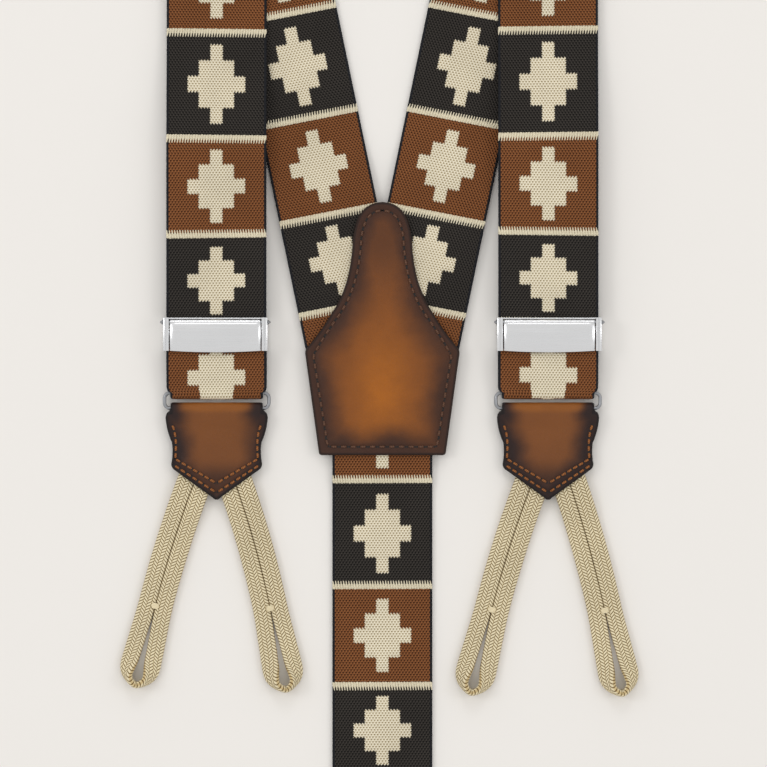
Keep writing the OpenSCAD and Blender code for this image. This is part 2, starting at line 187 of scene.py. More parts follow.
@dataclass
class Shape:
    """Closed tubes gathered with one vector mark per point, before they become a mesh."""

    points: list[Array] = field(default_factory=list)
    marks: list[Array] = field(default_factory=list)
    faces: list[list[int]] = field(default_factory=list)
    count: int = 0

    def tube(self, rings: Array, marks: Array | None = None, closed: bool = False) -> None:
        """Adds a skin over rings of points.

        Args:
            rings: Array (rings, points in a ring, 3) in millimetres.
            marks: A vector for every point, for the materials to read.
            closed: Whether the last ring joins the first, instead of both being capped.
        """
        n, k = rings.shape[:2]
        row = np.arange(n if closed else n - 1)[:, None]
        col = np.arange(k)[None, :]
        after = (row + 1) % n
        corners = [row * k + col, row * k + (col + 1) % k, after * k + (col + 1) % k, after * k + col]
        quads = np.stack(corners, -1).reshape(-1, 4) + self.count
        self.faces += quads.tolist()
        if not closed:
            self.faces.append((np.arange(k)[::-1] + self.count).tolist())
            self.faces.append((np.arange(k) + self.count + (n - 1) * k).tolist())
        self.points.append(rings.reshape(-1, 3))
        self.marks.append(np.zeros((n * k, 3)) if marks is None else marks.reshape(-1, 3))
        self.count += n * k

    def piece(self, name: str, material: bpy.types.Material, flat: float = 50.0) -> bpy.types.Object:
        """Turns the gathered tubes into one object.

        Args:
            name: Name of the piece.
            material: Its finish.
            flat: Corners sharper than this angle in degrees are shaded sharp.

        Returns:
            The new object, linked to the scene.
        """
        mesh = bpy.data.meshes.new(name)
        mesh.from_pydata(world(np.vstack(self.points)).tolist(), [], self.faces)
        marks = mesh.attributes.new("mark", "FLOAT_VECTOR", "POINT")
        marks.data.foreach_set("vector", np.vstack(self.marks).astype(np.float32).ravel())
        work = bmesh.new()
        work.from_mesh(mesh)
        bmesh.ops.recalc_face_normals(work, faces=work.faces)
        for edge in work.edges:
            edge.smooth = len(edge.link_faces) != 2 or edge.calc_face_angle(0.0) < math.radians(flat)
        for face in work.faces:
            face.smooth = True
        work.to_mesh(mesh)
        work.free()
        mesh.materials.append(material)
        piece = bpy.data.objects.new(name, mesh)
        bpy.context.scene.collection.objects.link(piece)
        return piece


def round_section(half_w: float, half_t: float, n: int) -> Array:
    """Outline of a flat oval with n points, as (across, up)."""
    t = np.linspace(0, 2 * math.pi, n, endpoint=False)
    c, s = np.cos(t), np.sin(t)
    return np.column_stack([half_w * np.sign(c) * np.abs(c) ** 0.6, half_t * np.sign(s) * np.abs(s) ** 0.65])


def stitches(shape: Shape, line: Array, height: Callable[[Array], Array], pitch: float, long: float,
             wide: float = 0.55, proud: float = 0.22) -> Array:
    """Adds arched thread stitches along a line.

    Args:
        shape: Shape that takes them.
        line: Polyline (n, 2) that they follow.
        height: Gives the height of the leather at points (n, 2).
        pitch: Distance between stitches.
        long: Length of a stitch.
        wide: Width of the thread.
        proud: How far a stitch stands out of the leather.

    Returns:
        The places between stitches, where the needle went in, as (n, 2).
    """
    total = np.linalg.norm(np.diff(line, axis=0), axis=1).sum()
    spots = evenly(line, total / (2 * max(1, round(total / pitch))), axes=2)
    holes = spots[0::2]
    for i in range(1, len(spots) - 1, 2):
        way = spots[i + 1] - spots[i - 1]
        way = way / np.linalg.norm(way)
        side = np.array([-way[1], way[0]])
        t = np.linspace(-1, 1, 9)
        along = spots[i] + t[:, None] * way * long / 2
        middle = height(along) + proud * (1.25 * (1 - t**4) - 0.75)
        girth = np.sqrt(np.clip(1.05 - np.abs(t) ** 3, 0.05, 1))
        a = np.linspace(0, 2 * math.pi, 8, endpoint=False)
        flat = along[:, None, :] + side * (np.cos(a)[None, :] * girth[:, None] * wide / 2)[..., None]
        up = middle[:, None] + np.sin(a)[None, :] * girth[:, None] * wide * 0.42
        marks = np.zeros(flat.shape[:2] + (3,))
        marks[..., 0] = t[:, None] * long / 2
        marks[..., 1] = a[None, :]
        shape.tube(np.concatenate([flat, up[..., None]], -1), marks)
    return holes


def needle_holes(shape: Shape, spots: Array, height: Callable[[Array], Array], radius: float = 0.42) -> None:
    """Adds small sunk rims where the thread enters the leather, in a near-black that is painted shade in the
    holes.

    Args:
        shape: Shape that takes them.
        spots: Places (n, 2).
        height: Gives the height of the leather at points.
        radius: Radius of one hole.
    """
    a = np.linspace(0, 2 * math.pi, 8, endpoint=False)
    ring = np.column_stack([np.cos(a), np.sin(a)])
    for spot, z in zip(spots, height(spots)):
        rings = [np.column_stack([spot + ring * r, np.full(8, z + lift)])
                 for r, lift in zip(radius * np.array([0.5, 1.0, 0.85, 0.3]), (-0.3, -0.12, 0.1, 0.02))]
        shape.tube(np.array(rings))


# ---------- shader groups ----------


def linear(code: str) -> tuple[float, float, float, float]:
    """Turns a colour code such as #7a4423 into Blender's linear colour."""
    parts = [int(code[i : i + 2], 16) / 255 for i in (1, 3, 5)]
    return tuple(c / 12.92 if c <= 0.04045 else ((c + 0.055) / 1.055) ** 2.4 for c in parts) + (1.0,)


@dataclass
class Sheet:
    """Short ways to add and join nodes in one node tree."""

    tree: bpy.types.NodeTree

    def add(self, kind: str, **settings: object) -> bpy.types.Node:
        """Adds a node and sets its plain settings."""
        node = self.tree.nodes.new("ShaderNode" + kind)
        for key, value in settings.items():
            setattr(node, key, value)
        return node

    def put(self, value: object, socket: Socket) -> None:
        """Links a socket, or sets a plain value."""
        if isinstance(value, bpy.types.NodeSocket):
            self.tree.links.new(value, socket)
        else:
            socket.default_value = value

    def math(self, operation: str, *values: object) -> Socket:
        """One sum on numbers or sockets."""
        node = self.add("Math", operation=operation)
        for value, socket in zip(values, node.inputs):
            self.put(value, socket)
        return node.outputs[0]

    def mix(self, share: object, a: object, b: object, blend: str = "MIX") -> Socket:
        """Mixes two colours, given as codes or sockets."""
        node = self.add("Mix", data_type="RGBA", blend_type=blend)
        self.put(share, node.inputs[0])
        self.put(linear(a) if isinstance(a, str) else a, node.inputs[6])
        self.put(linear(b) if isinstance(b, str) else b, node.inputs[7])
        return node.outputs[2]

    def step(self, x: object, low: float, high: float, out_low: float = 0.0, out_high: float = 1.0) -> Socket:
        """Smoothly maps x from low..high to out_low..out_high."""
        node = self.add("MapRange", interpolation_type="SMOOTHSTEP")
        for value, socket in zip((x, low, high, out_low, out_high), node.inputs):
            self.put(value, socket)
        return node.outputs[0]

    def noise(self, place: object, scale: float, detail: float = 3.0) -> Socket:
        """Soft noise from 0 to 1."""
        node = self.add("TexNoise")
        self.put(place, node.inputs["Vector"])
        node.inputs["Scale"].default_value = scale
        node.inputs["Detail"].default_value = detail
        return node.outputs["Fac"]

    def split(self, vector: object) -> tuple[Socket, Socket, Socket]:
        """The three numbers of a vector."""
        node = self.add("SeparateXYZ")
        self.put(vector, node.inputs[0])
        return tuple(node.outputs)

    def join(self, x: object, y: object, z: object = 0.0) -> Socket:
        """A vector made from three numbers."""
        node = self.add("CombineXYZ")
        for value, socket in zip((x, y, z), node.inputs):
            self.put(value, socket)
        return node.outputs[0]

    def scaled(self, vector: object, amounts: tuple[float, float, float]) -> Socket:
        """A vector with each number multiplied."""
        node = self.add("VectorMath", operation="MULTIPLY")
        self.put(vector, node.inputs[0])
        node.inputs[1].default_value = amounts
        return node.outputs[0]


def new_group(name: str, takes: dict[str, object],
              gives: dict[str, str]) -> tuple[Sheet, dict, bpy.types.Node]:
    """Starts a shader node group with named sockets.

    Args:
        name: Name of the group.
        takes: Input names with a default number, or a socket type word.
        gives: Output names with their socket type words.

    Returns:
        The group's sheet, its inputs by name and its output node.
    """
    tree = bpy.data.node_groups.new(name, "ShaderNodeTree")
    for key, value in takes.items():
        kind = value if isinstance(value, str) else "Float"
        socket = tree.interface.new_socket(key, in_out="INPUT", socket_type="NodeSocket" + kind)
        if not isinstance(value, str):
            socket.default_value = value
    for key, kind in gives.items():
        tree.interface.new_socket(key, in_out="OUTPUT", socket_type="NodeSocket" + kind)
    sheet = Sheet(tree)
    start = tree.nodes.new("NodeGroupInput")
    return sheet, {key: start.outputs[key] for key in takes}, tree.nodes.new("NodeGroupOutput")


class Effects:
    """Surface effects that several finishes share, each a node group built once."""

    def __init__(self) -> None:
        """Builds every group."""
        self.weave = self._weave()
        self.figure = self._figure()
        self.grain = self._grain()
        self.edge = self._edge()
        self.twist = self._twist()
        self.drift = self._drift()
        self.plait = self._plait()

    def place(self, sheet: Sheet, tree: bpy.types.NodeTree, **values: object) -> dict[str, Socket]:
        """Places a group in a material.

        Args:
            sheet: The material's sheet.
            tree: The group.
            values: Sockets or numbers for its inputs, with _ for a space in a name.

        Returns:
            The outputs by name.
        """
        node = sheet.add("Group", node_tree=tree)
        for key, value in values.items():
            sheet.put(value, node.inputs[key.replace("_", " ")])
        return {socket.name: socket for socket in node.outputs}

    def _weave(self) -> bpy.types.NodeTree:
        """Ribs and the small pits between them, from a place in millimetres."""
        s, takes, out = new_group("Rib weave", {"Place": "Vector", "Across": 1.1, "Along": 0.84},
                                  {"Rib": "Float", "Pit": "Float", "Height": "Float"})
        u, v, _ = s.split(takes["Place"])
        a = s.math("DIVIDE", u, takes["Across"])
        b = s.math("DIVIDE", v, takes["Along"])
        slant = s.math("FRACT", s.math("MULTIPLY_ADD", b, 0.5, a))
        rib = s.step(s.math("ABSOLUTE", s.math("SUBTRACT", slant, 0.5)), 0.12, 0.46, 1.0, 0.0)
        shift = s.math("MULTIPLY", s.math("FLOOR", b), 0.5)
        across = s.math("SUBTRACT", s.math("FRACT", s.math("ADD", a, shift)), 0.5)
        along = s.math("SUBTRACT", s.math("FRACT", b), 0.5)
        square = s.math("ADD", s.math("MULTIPLY", across, across), s.math("MULTIPLY", along, along))
        far = s.math("SQRT", square)
        pit = s.step(far, 0.16, 0.36, 1.0, 0.0)
        bumps = s.math("SUBTRACT", rib, s.math("MULTIPLY", pit, 0.9))
        s.put(rib, out.inputs["Rib"])
        s.put(pit, out.inputs["Pit"])
        s.put(bumps, out.inputs["Height"])
        return s.tree

    def _figure(self) -> bpy.types.NodeTree:
        """The woven figure: blocks in turn, a stepped cross in each, and the two selvages."""
        s, takes, out = new_group("Stepped cross", {"Across": 0.0, "Along": 0.0, "Block": 0.0},
                                  {"Cross": "Float", "Brown": "Float", "Selvage": "Float", "Thread": "Float"})
        in_rows = s.math("SINE", s.math("MULTIPLY", takes["Along"], 2 * math.pi / 0.84))
        in_columns = s.math("SINE", s.math("MULTIPLY", takes["Across"], 2 * math.pi / 1.1))
        wave = s.math("MULTIPLY", in_rows, 0.16)
        comb = s.math("MULTIPLY", in_columns, 0.008)
        side = s.math("ADD", s.math("ABSOLUTE", takes["Across"]), wave)
        mid = s.math("SUBTRACT", s.math("FRACT", takes["Block"]), 0.5)
        high = s.math("ADD", s.math("ABSOLUTE", mid), comb)
        cross: object = 0.0
        for half_w, half_h in ((2.15, 0.3725), (6.15, 0.2235), (10.05, 0.0745)):
            inside = s.math("MULTIPLY", s.step(side, half_w - 0.08, half_w + 0.08, 1.0, 0.0),
                            s.step(high, half_h - 0.003, half_h + 0.003, 1.0, 0.0))
            cross = s.math("MAXIMUM", cross, inside)
        odd = s.math("FLOORED_MODULO", s.math("FLOOR", takes["Block"]), 2.0)
        s.put(cross, out.inputs["Cross"])
        s.put(odd, out.inputs["Brown"])
        s.put(s.step(s.math("ABSOLUTE", takes["Across"]), 16.55, 16.75), out.inputs["Selvage"])
        s.put(s.math("GREATER_THAN", takes["Block"], 500.0), out.inputs["Thread"])
        return s.tree

    def _grain(self) -> bpy.types.NodeTree:
        """Leather grain: fine pores over soft creases."""
        s, takes, out = new_group("Leather grain", {"Place": "Vector", "Crease": 0.5},
                                  {"Height": "Float", "Tone": "Float"})
        cells = s.add("TexVoronoi", feature="DISTANCE_TO_EDGE")
        s.put(takes["Place"], cells.inputs["Vector"])
        cells.inputs["Scale"].default_value = 1900.0
        pores = s.step(cells.outputs["Distance"], 0.0, 0.25)
        creases = s.noise(s.scaled(takes["Place"], (1.0, 0.55, 1.0)), 260.0, 5.0)
        height = s.math("ADD", s.math("MULTIPLY", pores, 0.25), s.math("MULTIPLY", creases, takes["Crease"]))
        s.put(height, out.inputs["Height"])
        s.put(s.noise(takes["Place"], 95.0, 4.0), out.inputs["Tone"])
        return s.tree

    def _edge(self) -> bpy.types.NodeTree:
        """Dark burnish that fades in from an edge with an uneven front."""
        inputs = {"Place": "Vector", "Distance": 0.0, "Reach": 6.0, "Rim": 1.0}
        s, takes, out = new_group("Edge burnish", inputs, {"Burnish": "Float", "Rim": "Float"})
        uneven = s.math("MULTIPLY", s.math("SUBTRACT", s.noise(takes["Place"], 60.0, 3.0), 0.5), 0.9)
        share = s.math("ADD", s.math("DIVIDE", takes["Distance"], takes["Reach"]), uneven)
        s.put(s.step(share, 0.15, 1.0, 1.0, 0.0), out.inputs["Burnish"])
        at_rim = s.math("DIVIDE", takes["Distance"], takes["Rim"])
        s.put(s.step(at_rim, 0.55, 1.1, 1.0, 0.0), out.inputs["Rim"])
        return s.tree

    def _twist(self) -> bpy.types.NodeTree:
        """Slanted strands of a twisted thread or yarn, from a place along and round it."""
        s, takes, out = new_group("Yarn twist", {"Along": 0.0, "Round": 0.0, "Pitch": 0.5},
                                  {"Height": "Float"})
        turn = s.math("DIVIDE", takes["Round"], 2 * math.pi)
        wave = s.math("FRACT", s.math("ADD", s.math("DIVIDE", takes["Along"], takes["Pitch"]), turn))
        away = s.math("ABSOLUTE", s.math("SUBTRACT", wave, 0.5))
        s.put(s.step(away, 0.05, 0.5, 1.0, 0.0), out.inputs["Height"])
        return s.tree

    def _plait(self) -> bpy.types.NodeTree:
        """Herringbone of a flat braid, from a column number and a distance along in millimetres."""
        s, takes, out = new_group("Flat plait", {"Column": 0.0, "Along": 0.0, "Yarn": 1.15, "Slant": 1.0},
                                  {"Height": "Float"})
        inside = s.math("FRACT", takes["Column"])
        odd = s.math("FLOORED_MODULO", s.math("FLOOR", takes["Column"]), 2.0)
        way = s.math("MULTIPLY", takes["Slant"], s.math("MULTIPLY_ADD", odd, -2.0, 1.0))
        turn = s.math("MULTIPLY_ADD", way, inside, s.math("DIVIDE", takes["Along"], takes["Yarn"]))
        share = s.math("FRACT", s.math("MULTIPLY_ADD", odd, 0.5, turn))
        wave = s.math("ABSOLUTE", s.math("SUBTRACT", share, 0.5))
        side = s.math("ABSOLUTE", s.math("SUBTRACT", inside, 0.5))
        s.put(s.math("MULTIPLY", s.step(wave, 0.22, 0.5, 1.0, 0.0), s.step(side, 0.34, 0.5, 1.0, 0.45)),
              out.inputs["Height"])
        return s.tree

    def _drift(self) -> bpy.types.NodeTree:
        """Slow variation and fine dust that keep a colour from being flat."""
        s, takes, out = new_group("Tone drift", {"Place": "Vector", "Color": "Color", "Amount": 0.15},
                                  {"Color": "Color", "Dust": "Float"})
        slow = s.noise(takes["Place"], 55.0, 2.0)
        fine = s.noise(takes["Place"], 2600.0, 2.0)
        both = s.math("ADD", s.math("MULTIPLY", s.math("SUBTRACT", slow, 0.5), 1.2),
                      s.math("MULTIPLY", s.math("SUBTRACT", fine, 0.5), 0.8))
        value = s.math("MULTIPLY_ADD", both, s.math("MULTIPLY", takes["Amount"], 2.0), 1.0)
        hue = s.add("HueSaturation")
        s.put(value, hue.inputs["Value"])
        s.put(takes["Color"], hue.inputs["Color"])
        s.put(hue.outputs[0], out.inputs["Color"])
        s.put(fine, out.inputs["Dust"])
        return s.tree


# ---------- finishes ----------


class Finish:
    """A material with its place nodes and its shader ready to be joined."""

    def __init__(self, name: str, effects: Effects) -> None:
        """Starts an empty finish."""
        self.material = bpy.data.materials.new(name)
        self.material.use_nodes = True
        tree = self.material.node_tree
        tree.nodes.clear()
        self.sheet = Sheet(tree)
        self.effects = effects
        self.shader = self.sheet.add("BsdfPrincipled")
        result = self.sheet.add("OutputMaterial")
        tree.links.new(self.shader.outputs[0], result.inputs["Surface"])
        self.space = self.sheet.add("TexCoord").outputs["Object"]
        self.mark = self.sheet.add("Attribute", attribute_name="mark").outputs["Vector"]

    def set(self, **values: object) -> None:
        """Links or sets inputs of the shader, with _ for a space in a name."""
        for key, value in values.items():
            value = linear(value) if isinstance(value, str) else value
            self.sheet.put(value, self.shader.inputs[key.replace("_", " ")])

    def bump(self, height: Socket, depth: float, strength: float = 1.0) -> None:
        """Raises the surface by height times depth, in metres."""
        node = self.sheet.add("Bump")
        node.inputs["Strength"].default_value = strength
        node.inputs["Distance"].default_value = depth
        self.sheet.put(height, node.inputs["Height"])
        self.sheet.put(node.outputs[0], self.shader.inputs["Normal"])


@dataclass(frozen=True)
class WebbingFinish:
    """Jacquard elastic: ribbed ground in brown and charcoal blocks, cream stepped crosses."""

    # Each ground gives its yarn colour, a lighter colour that is painted highlight on the rib crests, and a
    # near-black that is painted shade in the pits.
    charcoal: tuple[str, str, str] = ("#262321", "#3d3935", "#0c0b0a")
    brown: tuple[str, str, str] = ("#6b3f24", "#8b5935", "#331809")
    cream: tuple[str, str, str] = ("#e0d4b8", "#efe6cf", "#a08d66")
    selvage: str = "#222327"

    def build(self, effects: Effects) -> bpy.types.Material:
        """Builds the material."""
        look = Finish("webbing", effects)
        s = look.sheet
        u, v, block = s.split(look.mark)
        weave = effects.place(s, effects.weave, Place=look.mark)
        figure = effects.place(s, effects.figure, Across=u, Along=v, Block=block)

        def cloth(colours: tuple[str, str, str]) -> Socket:
            """One ground: base, ribs over it in painted highlight, pits between them in painted shade."""
            return s.mix(weave["Pit"], s.mix(weave["Rib"], colours[0], colours[1]), colours[2])

        ground = s.mix(figure["Brown"], cloth(self.charcoal), cloth(self.brown))
        ground = s.mix(figure["Cross"], ground, cloth(self.cream))
        ground = s.mix(figure["Selvage"], ground, self.selvage)
        ground = s.mix(figure["Thread"], ground, "#e4dabf")
        drift = effects.place(s, effects.drift, Place=look.space, Color=ground, Amount=0.13)
        look.set(Base_Color=drift["Color"], Roughness=0.85, Specular_IOR_Level=0.12)
        fuzz = s.math("MULTIPLY", drift["Dust"], 0.35)
        look.bump(s.math("ADD", weave["Height"], fuzz), 0.00022, 0.8)
        return look.material


@dataclass(frozen=True)
class LeatherFinish:
    """Smooth calf leather, pale in the middle and burnished dark towards its edges."""

    name: str
    heart: str = "#a8611b"
    middle: str = "#7a461e"
    margin: str = "#40271c"
    rim: str = "#2a1a14"
    reach: float = 14.0
    roughness: float = 0.42
    crease: float = 0.5

    def build(self, effects: Effects) -> bpy.types.Material:
        """Builds the material from the mark: distance to the edge, warmth, and darkening that is burnish on the
        outer face and painted shade on inner and hidden faces.
        """
        look = Finish(self.name, effects)
        s = look.sheet
        away, warmth, shade = s.split(look.mark)
        grain = effects.place(s, effects.grain, Place=look.space, Crease=self.crease)
        edge = effects.place(s, effects.edge, Place=look.space, Distance=away, Reach=self.reach)
        body = s.mix(warmth, self.middle, self.heart)
        mottled = s.step(grain["Tone"], 0.3, 0.75)
        body = s.mix(s.math("MULTIPLY", mottled, 0.35), body, self.middle)
        # The shade mark darkens towards the margin colour: burnish on the outer face, painted shade on the
        # inner and hidden faces.
        dark = s.math("MAXIMUM", edge["Burnish"], shade)
        body = s.mix(dark, body, self.margin)
        body = s.mix(edge["Rim"], body, self.rim)
        drift = effects.place(s, effects.drift, Place=look.space, Color=body, Amount=0.1)
        rough = s.step(grain["Tone"], 0.2, 0.8, self.roughness - 0.06, self.roughness + 0.1)
        look.set(Base_Color=drift["Color"], Roughness=rough, Specular_IOR_Level=0.22)
        look.bump(grain["Height"], 0.0003, 0.8)
        return look.material


@dataclass(frozen=True)
class ThreadFinish:
    """Waxed sewing thread with a visible twist."""

    name: str
    light: str
    dark: str
    pitch: float = 0.6

    def build(self, effects: Effects) -> bpy.types.Material:
        """Builds the material."""
        look = Finish(self.name, effects)
        s = look.sheet
        along, round_it, _ = s.split(look.mark)
        twist = effects.place(s, effects.twist, Along=along, Round=round_it, Pitch=self.pitch)
        # Light on the strands' crests and dark in the twist's grooves: painted highlight and painted shade.
        colour = s.mix(twist["Height"], self.dark, self.light)
        drift = effects.place(s, effects.drift, Place=look.space, Color=colour, Amount=0.12)
        look.set(Base_Color=drift["Color"], Roughness=0.5, Specular_IOR_Level=0.4)
        look.bump(twist["Height"], 0.0001, 0.8)
        return look.material


@dataclass(frozen=True)
class BraidFinish:
    """Undyed cotton braid, with painted shade in the gaps between its yarns and painted highlight on their
    crests.
    """

    high: str = "#e9dcba"
    low: str = "#c6ae7c"
    gap: str = "#543a1c"

    def build(self, effects: Effects) -> bpy.types.Material:
        """Builds the material from the mark: plait column, place along, and 1 where it is plain thread."""
        look = Finish("braid_cotton", effects)
        s = look.sheet
        column, along, plain = s.split(look.mark)
        plait = effects.place(s, effects.plait, Column=column, Along=along)
        lift = s.math("MAXIMUM", plait["Height"], plain)
        # The gap colour is painted shade between the yarns; the high colour is painted highlight on their
        # raised crests.
        colour = s.mix(s.step(lift, 0.02, 0.4), self.gap, self.low)
        colour = s.mix(s.step(lift, 0.3, 0.9), colour, self.high)
        drift = effects.place(s, effects.drift, Place=look.space, Color=colour, Amount=0.1)
        look.set(Base_Color=drift["Color"], Roughness=0.85, Specular_IOR_Level=0.15)
        look.bump(s.math("ADD", lift, s.math("MULTIPLY", drift["Dust"], 0.25)), 0.0003, 0.9)
        return look.material


@dataclass(frozen=True)
class SteelFinish:
    """Plated steel with fine brushing and faint handling marks."""

    name: str
    colour: str = "#dcdde0"
    roughness: float = 0.22
    brush: tuple[float, float, float] = (30.0, 2200.0, 600.0)

    def build(self, effects: Effects) -> bpy.types.Material:
        """Builds the material."""
        look = Finish(self.name, effects)
        s = look.sheet
        lines = s.noise(s.scaled(look.space, self.brush), 1.0, 2.0)
        drift = effects.place(s, effects.drift, Place=look.space, Color=linear(self.colour), Amount=0.04)
        rough = s.step(lines, 0.3, 0.7, self.roughness - 0.05, self.roughness + 0.09)
        look.set(Base_Color=drift["Color"], Roughness=rough, Metallic=1.0)
        look.bump(lines, 0.00001, 0.5)
        return look.material


# ---------- webbing ----------


@dataclass
class Figure:
    """Where the woven figure's lines fall along one length of webbing.

    Knots pair a distance along the strip with a line's number, and even steps lie between them.
    """

    along: list[float]
    line: list[float]
    tilt: float = 0.012

    def block(self, v: Array) -> Array:
        """Number of the line at distance v, with the share of the next block."""
        return np.interp(v, self.along, self.line)

    def at(self, line: float | Array) -> Array:
        """Distance along the strip of a line or of a share between lines."""
        return np.interp(line, self.line, self.along)


@dataclass
class Webbing:
    """One length of jacquard webbing, skinned over any path with its figure raised."""

    figure: Figure
    across: float = 1.0
    steps: tuple[tuple[float, float], ...] = ((2.15, 0.3725), (6.15, 0.2235), (10.05, 0.0745))
    raised: float = 0.13
    bevel: float = 0.12
    stitch_pitch: float = 0.925

    def columns(self) -> Array:
        """Distances across the strap at which the skin has a column of points."""
        even = np.linspace(-16.4, 16.4, 31)
        turns = np.array([s * w for w, _ in self.steps for s in (-1, 1)])
        edges = np.r_[turns - self.bevel / 2, turns + self.bevel / 2]
        clear = np.abs(even[:, None] - turns[None, :]).min(1) > 0.35
        return np.sort(np.r_[even[clear], edges])

    def rows(self, first: float, last: float, step: float, fine: tuple[Stretch, ...] = ()) -> Array:
        """Distances along the strip at which the skin has a row of points.

        Args:
            first: Start of the strip.
            last: End of the strip.
            step: Greatest distance between rows.
            fine: Stretches with closer rows, as (from, to, step).

        Returns:
            The rows in order.
        """
        even = np.linspace(first, last, max(2, round((last - first) / step) + 1))
        rows = np.concatenate([even] + [np.arange(a, b, d) for a, b, d in fine if b > first and a < last])
        low, high = math.floor(self.figure.block(first)), math.ceil(self.figure.block(last))
        lines = [n + 0.5 + s * h for n in range(low, high) for _, h in self.steps for s in (-1, 1)]
        turns = self.figure.at(np.array(lines))
        turns = turns[(turns > first + 1) & (turns < last - 1)]
        if len(turns):
            away = np.abs(rows[:, None] - turns[None, :]).min(1) > 0.25
            away[0] = True
            away[len(even) - 1] = True
            rows = np.r_[rows[away], turns - self.bevel / 2, turns + self.bevel / 2]
        return np.unique(np.clip(rows, first, last).round(4))

    def height(self, u: Array, v: Array) -> Array:
        """How far the cream figure stands up at a place on the face."""
        mid = np.abs(self.figure.block(v) % 1.0 - 0.5)
        up = np.zeros(np.broadcast(u, v).shape)
        for half_w, half_h in self.steps:
            up = np.where((np.abs(u) < half_w) & (mid < half_h), 1.0, up)
        return up * self.raised

    def skin(self, shape: Shape, place: Place, rows: Array) -> None:
        """Adds the strap's skin to a shape.

        Args:
            shape: Shape that takes it.
            place: Gives the point for distances across, along and up from the strap's middle.
            rows: Distances along the strip.
        """
        top = self.columns()
        under = np.linspace(16.4, -16.4, 31)
        half = WEB_T / 2
        side = np.array([(17.0, half - 0.12), (17.38, half * 0.55), (WEB_HALF, 0.0), (17.38, -half * 0.55),
                         (17.0, 0.06 - half)])
        u = np.r_[top, side[:, 0], under, -side[::-1, 0]]
        w = np.r_[np.full(len(top), half), side[:, 1], np.full(len(under), -half), side[::-1, 1]]
        face = np.r_[np.ones(len(top)), np.zeros(len(u) - len(top))]
        grid_u = np.broadcast_to(u, (len(rows), len(u)))
        row = np.broadcast_to(rows[:, None], grid_u.shape)
        level = smooth(0.0, 6.0, np.minimum(row - rows[0], rows[-1] - row))
        v = row - self.figure.tilt * grid_u * level
        up = w[None, :] + self.height(grid_u, row) * face[None, :]
        marks = np.stack([grid_u * self.across, row, self.figure.block(row)], -1)
        shape.tube(place(grid_u, v, up), marks)

    def dividers(self, shape: Shape, place: Place, first: float, last: float) -> None:
        """Adds the rows of cream whip stitches that lie on the figure's lines.

        Args:
            shape: Shape that takes them.
            place: As for skin.
            first: Start of the stretch.
            last: End of the stretch.
        """
        station = np.array([-0.9, -0.72, 0.0, 0.72, 1.05, 1.9, 2.1])
        half_w = np.array([0.3, 0.49, 0.51, 0.47, 0.27, 0.2, 0.08])
        high = np.array([0.03, 0.2, 0.27, 0.22, 0.17, 0.12, 0.0])
        section = np.array([(-1.0, -0.35), (-0.75, 0.7), (0.0, 1.0), (0.75, 0.7), (1.0, -0.35)])
        count = round(2 * (WEB_HALF - 0.45) / self.stitch_pitch)
        low, top = math.ceil(self.figure.block(first)), math.floor(self.figure.block(last))
        for line in range(low, top + 1):
            at = float(self.figure.at(line))
            if not first + 2.5 < at < last - 2.5:
                continue
            way = 1.0 if line % 4 in (2, 3) else -1.0
            for j in range(count + 1):
                middle = -(WEB_HALF - 0.45) + 2 * (WEB_HALF - 0.45) * j / count
                wobble = 0.06 * math.sin(2.4 * j + line)
                lean = 0.14 * self.across
                u = middle + lean * way * station[:, None] + half_w[:, None] * section[None, :, 0]
                u = np.clip(u, -WEB_HALF, WEB_HALF)
                v = at + wobble + way * station[:, None] - self.figure.tilt * u
                droop = 0.35 * smooth(16.4, 17.5, np.abs(u))
                w = WEB_T / 2 + high[:, None] * section[None, :, 1] - 0.02 - droop
                marks = np.stack([u, v, np.full_like(u, 1000.0)], -1)
                shape.tube(place(u, v, w), marks)


